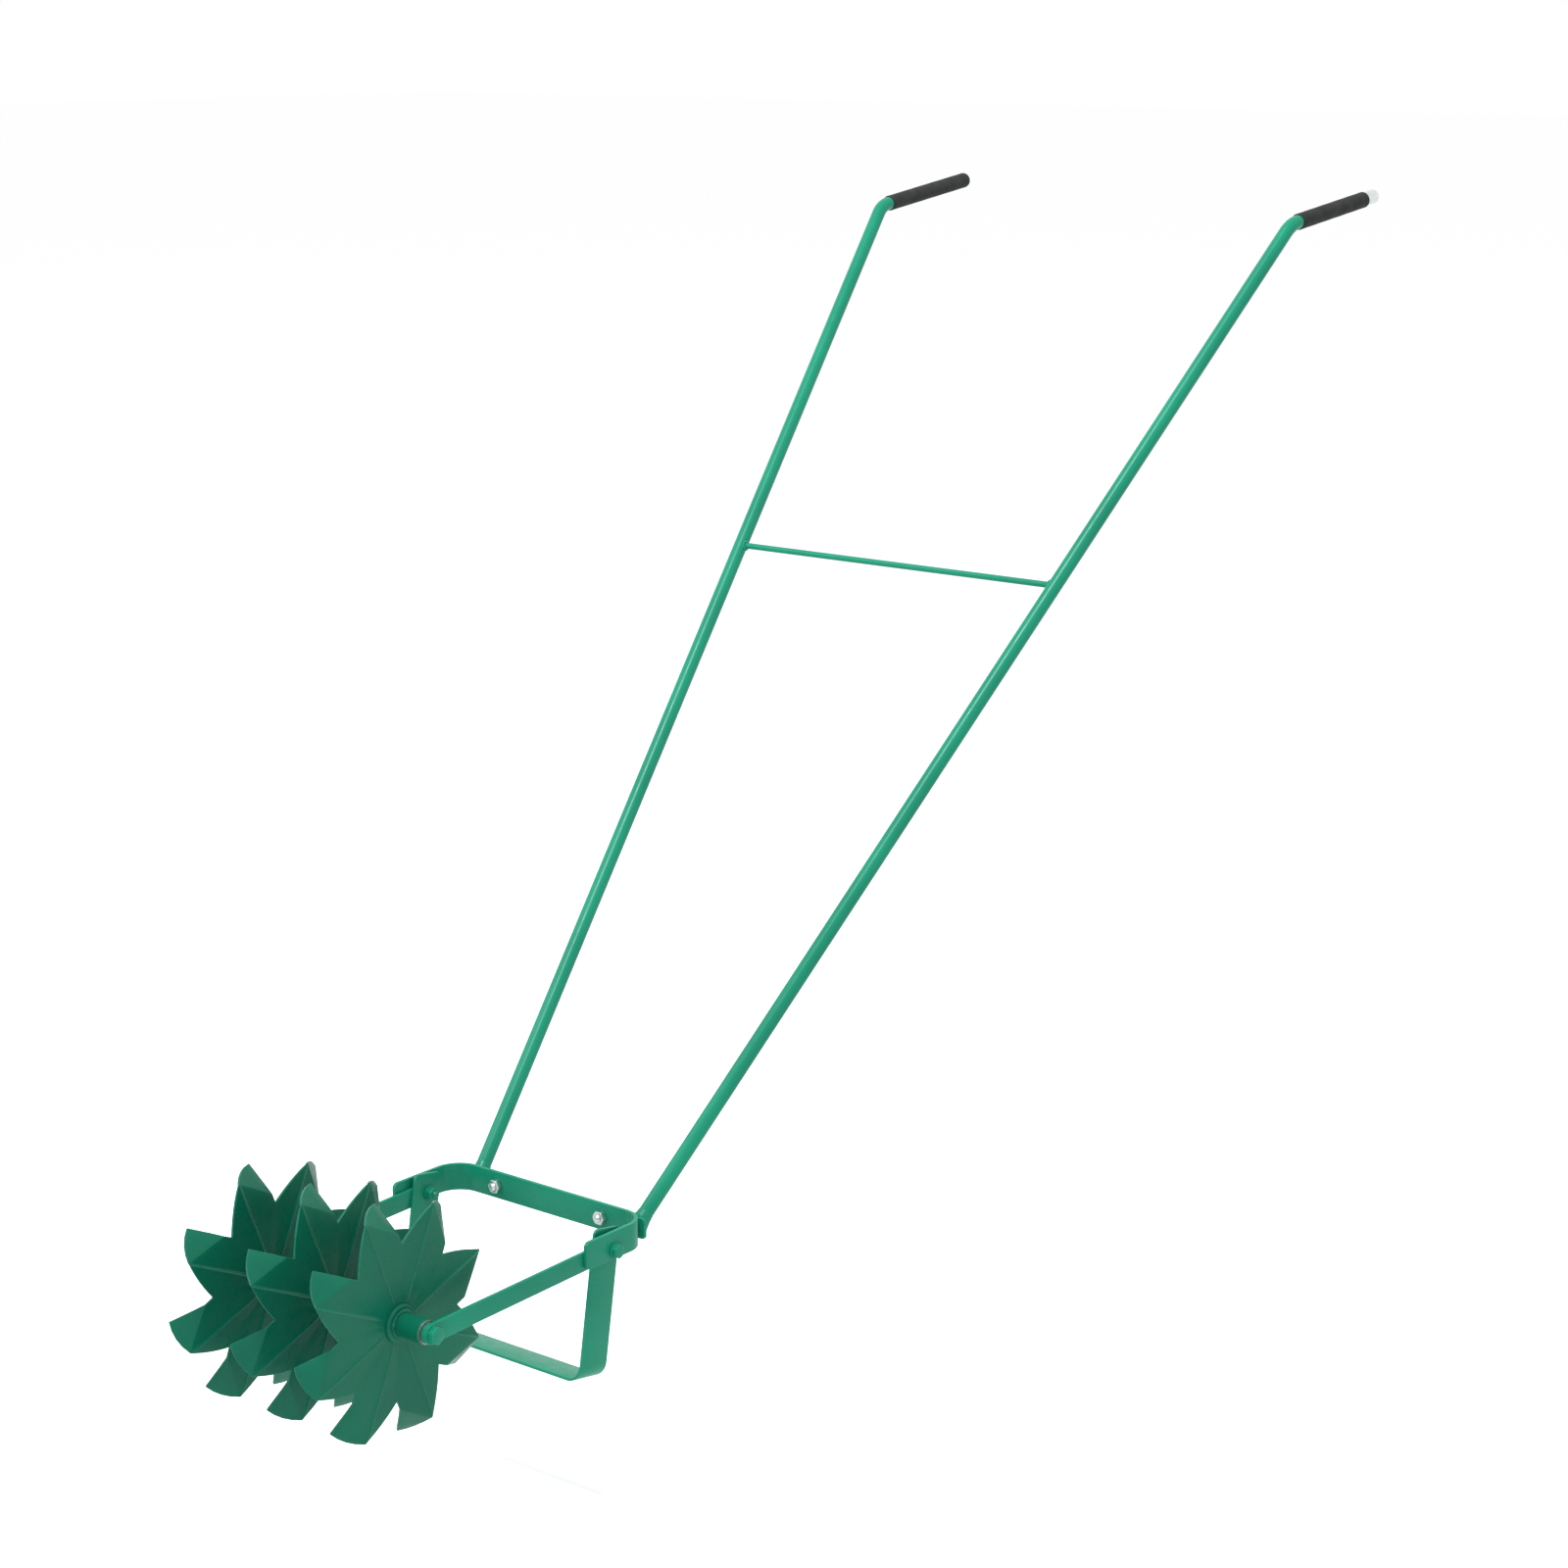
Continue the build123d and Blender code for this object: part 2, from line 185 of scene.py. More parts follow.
def shader(name: str) -> tuple[bpy.types.Material, Graph, bpy.types.Node]:
    """Start a material.

    Args:
        name: Name of the material.

    Returns:
        The material, its graph and its Principled node.
    """
    material = bpy.data.materials.new(name)
    material.use_nodes = True
    graph = Graph(material.node_tree)
    return material, graph, material.node_tree.nodes["Principled BSDF"]


def edge_mask(graph: Graph, radius: float) -> bpy.types.NodeSocket:
    """How much a point lies on a rounded edge.

    Args:
        graph: Graph of the material.
        radius: Width of the edge in metres.

    Returns:
        A socket from 0 on flat metal to about 1 on a sharp edge.
    """
    rounded = graph.add("ShaderNodeBevel", {"Radius": radius}, samples=6)
    flat = graph.add("ShaderNodeNewGeometry")
    dot = graph.add(
        "ShaderNodeVectorMath",
        {0: rounded.outputs["Normal"], 1: flat.outputs["Normal"]},
        operation="DOT_PRODUCT",
    )
    return graph.span(dot.outputs["Value"], (0.985, 0.80), (0.0, 1.0))


@dataclass(frozen=True)
class Enamel:
    """Glossy green enamel, sprayed on steel."""

    name: str = "green_enamel"
    colour: tuple = (0.0060, 0.200, 0.118, 1.0)
    deep: tuple = (0.0045, 0.165, 0.098, 1.0)
    # Edge tint: partly thinner paint, partly a painted highlight where edges catch the light.
    thin_paint_and_highlight: tuple = (0.050, 0.340, 0.230, 1.0)
    patch_scale: float = 9.0
    peel_scale: float = 520.0
    peel_depth: float = 0.00006
    sag_scale: float = 95.0
    edge_width: float = 0.0011
    roughness: tuple = (0.24, 0.36)
    shine: float = 0.16

    def build(self) -> bpy.types.Material:
        """Make the material: tone patches, orange peel, and a lighter tint on the edges that is partly
        thinner paint and partly painted highlight.

        Returns:
            The material.
        """
        material, graph, gloss = shader(self.name)
        where = graph.add("ShaderNodeTexCoord").outputs["Object"]
        patches = graph.span(graph.noise(where, self.patch_scale, 4.0), (0.35, 0.68), (0.0, 1.0))
        tone = graph.blend(patches, self.colour, self.deep)
        # Lighter tint on rounded edges, broken up by noise: partly thinner paint and wear, partly a painted
        # highlight.
        edge_breakup = graph.span(graph.noise(where, self.sag_scale, 5.0), (0.38, 0.62), (0.25, 0.85))
        edge_wear_and_highlight = graph.math("MULTIPLY", edge_mask(graph, self.edge_width), edge_breakup)
        tone = graph.blend(edge_wear_and_highlight, tone, self.thin_paint_and_highlight)
        rough = graph.span(graph.noise(where, self.sag_scale, 2.0), (0.3, 0.7), self.roughness)
        peel = graph.relief(graph.noise(where, self.peel_scale, 2.0), 0.5, self.peel_depth)
        graph.wire(gloss, Base_Color=tone, Roughness=rough, Normal=peel)
        gloss.inputs["Specular IOR Level"].default_value = self.shine
        return material


@dataclass(frozen=True)
class Foam:
    """Matte black foam sleeve with fine open cells."""

    name: str = "black_foam"
    colour: tuple = (0.012, 0.014, 0.013, 1.0)
    dusty: tuple = (0.026, 0.030, 0.028, 1.0)
    cell_scale: float = 1300.0
    cell_depth: float = 0.00022
    patch_scale: float = 70.0
    roughness: tuple = (0.72, 0.92)
    shine: float = 0.25

    def build(self) -> bpy.types.Material:
        """Make the material: cells in the bump and the gloss, soft dusty patches in the tone.

        Returns:
            The material.
        """
        material, graph, skin = shader(self.name)
        where = graph.add("ShaderNodeTexCoord").outputs["Object"]
        cells = graph.add("ShaderNodeTexVoronoi", {"Vector": where, "Scale": self.cell_scale})
        fine = graph.noise(where, self.cell_scale * 0.6, 3.0)
        height = graph.math("ADD", cells.outputs["Distance"], fine)
        dust = graph.span(graph.noise(where, self.patch_scale, 4.0), (0.35, 0.75), (0.1, 0.9))
        tone = graph.blend(dust, self.colour, self.dusty)
        rough = graph.span(fine, (0.3, 0.7), self.roughness)
        pores = graph.relief(height, 0.8, self.cell_depth)
        graph.wire(skin, Base_Color=tone, Roughness=rough, Normal=pores)
        skin.inputs["Specular IOR Level"].default_value = self.shine
        return material


@dataclass(frozen=True)
class Plating:
    """Metal finish of the bright nuts, the bare tube end and the bushes."""

    name: str
    colour: tuple
    dull: tuple
    roughness: tuple
    grain_scale: float = 260.0
    grain_depth: float = 0.00003

    def build(self) -> bpy.types.Material:
        """Make the material: cloudy zinc tone and fine grain in gloss and bump.

        Returns:
            The material.
        """
        material, graph, metal = shader(self.name)
        where = graph.add("ShaderNodeTexCoord").outputs["Object"]
        cloud = graph.span(graph.noise(where, self.grain_scale, 4.0), (0.3, 0.7), (0.0, 1.0))
        tone = graph.blend(cloud, self.colour, self.dull)
        rough = graph.span(graph.noise(where, self.grain_scale * 3.0, 2.0), (0.3, 0.7), self.roughness)
        grain = graph.relief(graph.noise(where, self.grain_scale * 6.0), 0.3, self.grain_depth)
        graph.wire(metal, Base_Color=tone, Roughness=rough, Normal=grain)
        metal.inputs["Metallic"].default_value = 1.0
        return material


class Finishes:
    """All materials of the tool, by record slot, and a darker copy of the enamel that paints shade on the
    rotor.
    """

    def __init__(self) -> None:
        """Build each material once."""
        self.by_slot = {
            Slot.GREEN: Enamel().build(),
            Slot.GRIP: Foam().build(),
            Slot.PLATED: Plating(
                "bright_zinc", (0.80, 0.84, 0.84, 1.0), (0.62, 0.67, 0.67, 1.0), (0.22, 0.38)
            ).build(),
            Slot.PLAIN: Plating(
                "plain_steel", (0.40, 0.40, 0.39, 1.0), (0.30, 0.30, 0.29, 1.0), (0.35, 0.55)
            ).build(),
        }
        # Darker copy of the same green enamel for the rotor: painted shade on the wheels, which sit in
        # shade. Its edge tint is partly painted highlight.
        self.wheels = Enamel(
            "wheel_enamel_painted_shade",
            colour=(0.0022, 0.112, 0.064, 1.0),
            deep=(0.0015, 0.088, 0.053, 1.0),
            thin_paint_and_highlight=(0.050, 0.270, 0.190, 1.0),
        ).build()

    def dress_cad(self, nodes: dict[str, bpy.types.Object], record: dict) -> None:
        """Give every CAD node the finish of its slot.

        Args:
            nodes: CAD objects by node name.
            record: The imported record.
        """
        for part in record["subparts"]:
            mesh = nodes[part["node"]].data
            mesh.materials.clear()
            mesh.materials.append(self.by_slot[Slot(part["material_slot"])])


# ----------------------------------------------------------------------------- mesh making


@dataclass
class Shape:
    """Corners and faces of a mesh while it is being built."""

    points: list[Vector] = field(default_factory=list)
    faces: list[tuple[int, ...]] = field(default_factory=list)

    def ring(self, corners: Sequence[Vector]) -> list[int]:
        """Add a row of corners.

        Args:
            corners: Places of the corners.

        Returns:
            The numbers of the new corners.
        """
        start = len(self.points)
        self.points.extend(corners)
        return list(range(start, start + len(corners)))

    def band(self, first: Sequence[int], second: Sequence[int], closed: bool = True) -> None:
        """Join two rows of corners with faces.

        Args:
            first: Numbers of one row's corners.
            second: Numbers of the other row's, as many.
            closed: Whether the rows are rings.
        """
        count = len(first)
        for index in range(count if closed else count - 1):
            after = (index + 1) % count
            self.faces.append((first[index], first[after], second[after], second[index]))

    def moved(self, matrix: Matrix) -> "Shape":
        """A copy with every corner moved."""
        return Shape([matrix @ point for point in self.points], list(self.faces))

    def joined(self, other: "Shape") -> "Shape":
        """Put this shape and another into one.

        Args:
            other: The shape to add.

        Returns:
            A new shape of both.
        """
        start = len(self.points)
        faces = [tuple(number + start for number in face) for face in other.faces]
        return Shape(self.points + other.points, self.faces + faces)

    def to_object(self, name: str, edges: Sequence[tuple[int, int]] = ()) -> bpy.types.Object:
        """Make a Blender object of the shape.

        Args:
            name: Name of the object and its mesh.
            edges: Loose edges as pairs of corner numbers.

        Returns:
            The object, in the scene and at the origin.
        """
        mesh = bpy.data.meshes.new(name)
        mesh.from_pydata(self.points, list(edges), self.faces)
        obj = bpy.data.objects.new(name, mesh)
        bpy.context.scene.collection.objects.link(obj)
        return obj


def axis_frame(place: Vector, heading: Vector) -> Matrix:
    """A matrix that turns local +Z to a heading and moves the origin to a place."""
    turn = Z_AXIS.rotation_difference(heading.normalized()).to_matrix().to_4x4()
    return Matrix.Translation(place) @ turn


def lathe(profile: Sequence[tuple[float, float]], segments: int = 48) -> Shape:
    """Turn a profile round local Z.

    Args:
        profile: (radius, height) from one end to the other; a radius of 0 closes a pole.
        segments: Sides of the circle.

    Returns:
        The turned shape; a profile whose ends meet makes a closed ring.
    """
    shape = Shape()
    rows = []
    angles = [2.0 * math.pi * k / segments for k in range(segments)]
    for radius, height in profile:
        if radius == 0.0:
            rows.append(shape.ring([Vector((0.0, 0.0, height))]) * segments)
            continue
        circle = [Vector((radius * math.cos(a), radius * math.sin(a), height)) for a in angles]
        rows.append(shape.ring(circle))
    for first, second in zip(rows, rows[1:]):
        shape.band(first, second)
    faces = [tuple(dict.fromkeys(face)) for face in shape.faces]
    shape.faces = [face for face in faces if len(face) > 2]
    return shape


def tidy(obj: bpy.types.Object, weld: float = WELD_DISTANCE) -> None:
    """Merge doubled corners and point every face outwards.

    Args:
        obj: Object to change.
        weld: Corners nearer than this are merged.
    """
    work = bmesh.new()
    work.from_mesh(obj.data)
    bmesh.ops.remove_doubles(work, verts=work.verts, dist=weld)
    bmesh.ops.recalc_face_normals(work, faces=work.faces)
    work.to_mesh(obj.data)
    work.free()


def keep_side(obj: bpy.types.Object, point: Vector, normal: Vector) -> None:
    """Cut a closed mesh with a plane, keep one side and close the cut.

    Args:
        obj: Object to change.
        point: A point of the plane.
        normal: Direction of the side that stays.
    """
    work = bmesh.new()
    work.from_mesh(obj.data)
    everything = work.verts[:] + work.edges[:] + work.faces[:]
    bmesh.ops.bisect_plane(
        work, geom=everything, dist=1e-6, plane_co=point, plane_no=normal, clear_inner=True
    )
    open_edges = [edge for edge in work.edges if edge.is_boundary]
    bmesh.ops.contextual_create(work, geom=open_edges)
    bmesh.ops.recalc_face_normals(work, faces=work.faces)
    work.to_mesh(obj.data)
    work.free()


def settle(obj: bpy.types.Object) -> None:
    """Turn the object's modifiers into its plain mesh.

    Args:
        obj: Object to change.
    """
    graph = bpy.context.evaluated_depsgraph_get()
    graph.update()
    mesh = bpy.data.meshes.new_from_object(obj.evaluated_get(graph))
    obj.modifiers.clear()
    obj.data = mesh
    mesh.name = obj.name


def smooth(obj: bpy.types.Object, angle: float = SMOOTH_ANGLE) -> None:
    """Shade smooth, with edges sharper than an angle kept crisp."""
    obj.data.polygons.foreach_set("use_smooth", [True] * len(obj.data.polygons))
    obj.data.set_sharp_from_angle(angle=angle)


def soften(obj: bpy.types.Object, width: float, segments: int = 2, angle: float = 28.0) -> None:
    """Round every sharp edge of a closed mesh.

    Args:
        obj: Object to change.
        width: Width of the rounding in metres.
        segments: Faces across the rounding.
        angle: Edges that turn by more than this many degrees are rounded.
    """
    bevel = obj.modifiers.new("soften", "BEVEL")
    bevel.width = width
    bevel.segments = segments
    bevel.limit_method = "ANGLE"
    bevel.angle_limit = math.radians(angle)
    bevel.miter_outer = "MITER_ARC"
    bevel.use_clamp_overlap = True
    settle(obj)
    smooth(obj)


# ----------------------------------------------------------------------------- growing trees


class Grower:
    """A Geometry Nodes tree with named inputs, run once on an object."""

    name: str = "grower"
    sockets: dict[str, str] = {}

    def __init__(self) -> None:
        """Build the tree."""
        self.tree = bpy.data.node_groups.new(self.name, "GeometryNodeTree")
        interface = self.tree.interface
        interface.new_socket("Geometry", in_out="INPUT", socket_type="NodeSocketGeometry")
        for name, kind in self.sockets.items():
            interface.new_socket(name, in_out="INPUT", socket_type=kind)
        interface.new_socket("Material", in_out="INPUT", socket_type="NodeSocketMaterial")
        interface.new_socket("Geometry", in_out="OUTPUT", socket_type="NodeSocketGeometry")
        self.graph = Graph(self.tree)
        self.given = self.graph.add("NodeGroupInput").outputs
        real = self.graph.add("GeometryNodeRealizeInstances", {"Geometry": self.grow()})
        dress = {"Geometry": real.outputs[0], "Material": self.given["Material"]}
        dressed = self.graph.add("GeometryNodeSetMaterial", dress)
        self.graph.add("NodeGroupOutput", {"Geometry": dressed.outputs[0]})

    def grow(self) -> bpy.types.NodeSocket:
        """Add the tree's own nodes and return their geometry."""
        raise NotImplementedError

    def run(self, obj: bpy.types.Object, material: bpy.types.Material, **sizes: object) -> bpy.types.Object:
        """Run the tree on an object and keep the result as its plain mesh.

        Args:
            obj: Object whose mesh is the tree's input.
            material: Finish of the result.
            **sizes: Inputs by name, with _ for a space.

        Returns:
            The same object.
        """
        modifier = obj.modifiers.new(self.name, "NODES")
        modifier.node_group = self.tree
        values = {key.replace("_", " "): value for key, value in sizes.items()}
        values["Material"] = material
        for item in self.tree.interface.items_tree:
            if item.in_out == "INPUT" and item.name in values:
                modifier[item.identifier] = values[item.name]
        settle(obj)
        tidy(obj)
        return obj


class Repeater(Grower):
    """Repeats a mesh: each copy is moved by Step and turned by Turn more than the one before."""

    name = "repeater"
    sockets = {
        "Count": "NodeSocketInt",
        "Start": "NodeSocketVector",
        "Step": "NodeSocketVector",
        "Turn": "NodeSocketVector",
    }

    def grow(self) -> bpy.types.NodeSocket:
        """Add instances of the input mesh along a line of points.

        Returns:
            The grown geometry.
        """
        line = self.graph.add(
            "GeometryNodeMeshLine",
            {
                "Count": self.given["Count"],
                "Start Location": self.given["Start"],
                "Offset": self.given["Step"],
            },
        )
        index = self.graph.add("GeometryNodeInputIndex").outputs[0]
        turned = self.graph.add(
            "ShaderNodeVectorMath", {0: self.given["Turn"], "Scale": index}, operation="SCALE"
        )
        rotation = self.graph.add("FunctionNodeEulerToRotation", {"Euler": turned.outputs[0]})
        copies = self.graph.add(
            "GeometryNodeInstanceOnPoints",
            {
                "Points": line.outputs[0],
                "Instance": self.given["Geometry"],
                "Rotation": rotation.outputs[0],
            },
        )
        return copies.outputs[0]


class TubeDrawer(Grower):
    """Draws a round bar along a line of corners, with each corner bent to a radius."""

    name = "tube_drawer"
    sockets = {
        "Radius": "NodeSocketFloat",
        "Bend": "NodeSocketFloat",
        "Steps": "NodeSocketInt",
        "Sides": "NodeSocketInt",
    }

    def grow(self) -> bpy.types.NodeSocket:
        """Sweep a circle along the filleted line and close its ends.

        Returns:
            The grown geometry.
        """
        line = self.graph.add("GeometryNodeMeshToCurve", {"Mesh": self.given["Geometry"]})
        bent = self.graph.add(
            "GeometryNodeFilletCurve",
            {"Curve": line.outputs[0], "Count": self.given["Steps"], "Radius": self.given["Bend"]},
            mode="POLY",
        )
        ring = self.graph.add(
            "GeometryNodeCurvePrimitiveCircle",
            {"Resolution": self.given["Sides"], "Radius": self.given["Radius"]},
        )
        swept = self.graph.add(
            "GeometryNodeCurveToMesh",
            {"Curve": bent.outputs[0], "Profile Curve": ring.outputs[0], "Fill Caps": True},
        )
        return swept.outputs[0]


class BeadLayer(Grower):
    """Lays weld ripples along a line: flattened drops, each a little different."""

    name = "bead_layer"
    sockets = {
        "Pitch": "NodeSocketFloat",
        "Size": "NodeSocketFloat",
        "Seed": "NodeSocketInt",
    }

    def grow(self) -> bpy.types.NodeSocket:
        """Put drops on an evenly spaced line, squeezed along it and sized at random.

        Returns:
            The grown geometry.
        """
        line = self.graph.add("GeometryNodeMeshToCurve", {"Mesh": self.given["Geometry"]})
        spaced = self.graph.add(
            "GeometryNodeResampleCurve",
            {"Curve": line.outputs[0], "Length": self.given["Pitch"]},
            mode="LENGTH",
        )
        drop = self.graph.add(
            "GeometryNodeMeshIcoSphere", {"Radius": self.given["Size"], "Subdivisions": 3}
        )
        chance = self.graph.add(
            "FunctionNodeRandomValue",
            {"Min": (0.88, 0.88, 0.55), "Max": (1.12, 1.12, 0.75), "Seed": self.given["Seed"]},
            data_type="FLOAT_VECTOR",
        )
        along = self.graph.add("GeometryNodeInputTangent")
        lined_up = self.graph.add(
            "FunctionNodeAlignRotationToVector", {"Vector": along.outputs[0]}, axis="Z"
        )
        drops = self.graph.add(
            "GeometryNodeInstanceOnPoints",
            {
                "Points": spaced.outputs[0],
                "Instance": drop.outputs[0],
                "Rotation": lined_up.outputs[0],
                "Scale": chance.outputs[0],
            },
        )
        return drops.outputs[0]


# ----------------------------------------------------------------------------- the workshop


class Workshop:
    """What every sub-assembly shares: finishes, growing trees and the record's places."""

    def __init__(self, packed: dict) -> None:
        """Read the record and build the finishes and trees.
        """
        self.nodes = packed["nodes"]
        self.record = packed["record"]
        self.finishes = Finishes()
        self.finishes.dress_cad(self.nodes, self.record)
        self.repeater = Repeater()
        self.drawer = TubeDrawer()
        self.beads = BeadLayer()

    def finish(self, slot: Slot) -> bpy.types.Material:
        """The material of a slot."""
        return self.finishes.by_slot[slot]

    def joint_row(self, name: str) -> dict:
        """What the record says of a joint."""
        return next(row for row in self.record["behaviour"]["joints"] if row["name"] == name)

    def joint(self, name: str) -> Vector:
        """The place of a joint's axis in the row frame."""
        return Vector(self.joint_row(name)["pos_m"])

    def line(self, name: str, points: Sequence[Vector], closed: bool = False) -> bpy.types.Object:
        """Make a mesh of edges only, which a tree can follow.

        Args:
            name: Name of the object.
            points: Corners of the line.
            closed: Whether the last corner joins the first.

        Returns:
            The object.
        """
        count = len(points)
        edges = [(k, (k + 1) % count) for k in range(count if closed else count - 1)]
        return Shape(list(points)).to_object(name, edges)

    def hand_over(self, obj: bpy.types.Object, body: Body, slot: Slot, *replaced: str) -> None:
        """Give a finished piece its material, put it on its body and hide the CAD nodes it stands for.

        Args:
            obj: The finished piece.
            body: Body it rides on.
            slot: Material slot it takes its finish from.
            *replaced: CAD nodes it stands for.
        """
        # The rotor takes the darker copy of the enamel, which paints shade onto the wheels and hub.
        material = self.finishes.wheels if body is Body.ROTOR else self.finish(slot)
        obj.data.materials.clear()
        obj.data.materials.append(material)
        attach(obj, body.value)
        if replaced:
            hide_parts(*replaced)
        LOG.info("%s: %d faces on %s", obj.name, len(obj.data.polygons), body.value)


# ----------------------------------------------------------------------------- fasteners


def hex_blank(across: float, height: float, bore: float, chamfer_foot: bool) -> Shape:
    """A hexagon with turned chamfers, standing on local Z = 0.

    Args:
        across: Width across flats.
        height: Height of the hexagon.
        bore: Radius of the hole, or 0 for a closed head.
        chamfer_foot: Whether the foot is chamfered like the top.

    Returns:
        The closed shape.
    """
    sides = 48
    flat = across / 2.0
    slope = math.tan(math.radians(30.0))
    radii = []
    for k in range(sides):
        angle = (360.0 * k / sides) % 60.0 - 30.0
        radii.append(flat / math.cos(math.radians(angle)))
    turn = [2.0 * math.pi * k / sides for k in range(sides)]

    def row(reach: Callable[[float], float], level: Callable[[float], float]) -> list[Vector]:
        """One ring of corners by reach and level at each corner's radius."""
        return [
            Vector((reach(r) * math.cos(a), reach(r) * math.sin(a), level(r)))
            for r, a in zip(radii, turn)
        ]

    face = flat * 0.97
    shape = Shape()
    rows = []
    if bore:
        rows.append(shape.ring(row(lambda r: bore, lambda r: 0.0)))
    foot = (lambda r: (r - face) * slope) if chamfer_foot else (lambda r: 0.0)
    if chamfer_foot:
        rows.append(shape.ring(row(lambda r: face, lambda r: 0.0)))
    rows.append(shape.ring(row(lambda r: r, foot)))
    rows.append(shape.ring(row(lambda r: r, lambda r: height - (r - face) * slope)))
    rows.append(shape.ring(row(lambda r: face, lambda r: height)))
    if bore:
        rows.append(shape.ring(row(lambda r: bore, lambda r: height)))
        rows.append(rows[0])
    for first, second in zip(rows, rows[1:]):
        shape.band(first, second)
    if not bore:
        shape.faces.append(tuple(rows[-1]))
        shape.faces.append(tuple(reversed(rows[0])))
    return shape


def bolt_end(radius: float, length: float, pitch: float) -> Shape:
    """A threaded bolt end from local Z = 0, with a ridge for each turn of the thread.

    Args:
        radius: Radius over the thread.
        length: Length of the end.
        pitch: Height of one turn.

    Returns:
        The closed shape.
    """
    root, point = radius * 0.88, radius * 0.74
    profile = [(0.0, 0.0), (radius * 0.9, 0.0)]
    turns = max(1, int((length - pitch * 0.6) / pitch))
    for turn in range(turns):
        base = turn * pitch
        profile += [(root, base + pitch * 0.1), (radius, base + pitch * 0.5)]
    profile += [(root, turns * pitch), (point, length), (0.0, length)]
    return lathe(profile, 32)


def washer(inner: float, outer: float, thick: float) -> Shape:
    """A plain washer standing on local Z = 0, with softly rounded rims.

    Args:
        inner: Radius of the hole.
        outer: Radius of the rim.
        thick: Thickness.

    Returns:
        The closed ring.
    """
    soft = thick * 0.25
    rim = [
        (inner, 0.0),
        (outer - soft, 0.0),
        (outer, soft),
        (outer, thick - soft),
        (outer - soft, thick),
        (inner, thick),
        (inner, 0.0),
    ]
    return lathe(rim, 40)


@dataclass(frozen=True)
class Thread:
    """Sizes of one size of bolt."""

    radius: float
    head_across: float
    head_height: float
    nut_across: float
    nut_height: float
    pitch: float
    washer_radius: float
    washer_thick: float = 0.0016


M8 = Thread(0.0040, 0.0130, 0.0055, 0.0130, 0.0065, 0.00125, 0.0080)
M10 = Thread(0.0050, 0.0160, 0.0064, 0.0170, 0.0080, 0.0015, 0.0100)


# ----------------------------------------------------------------------------- rotor


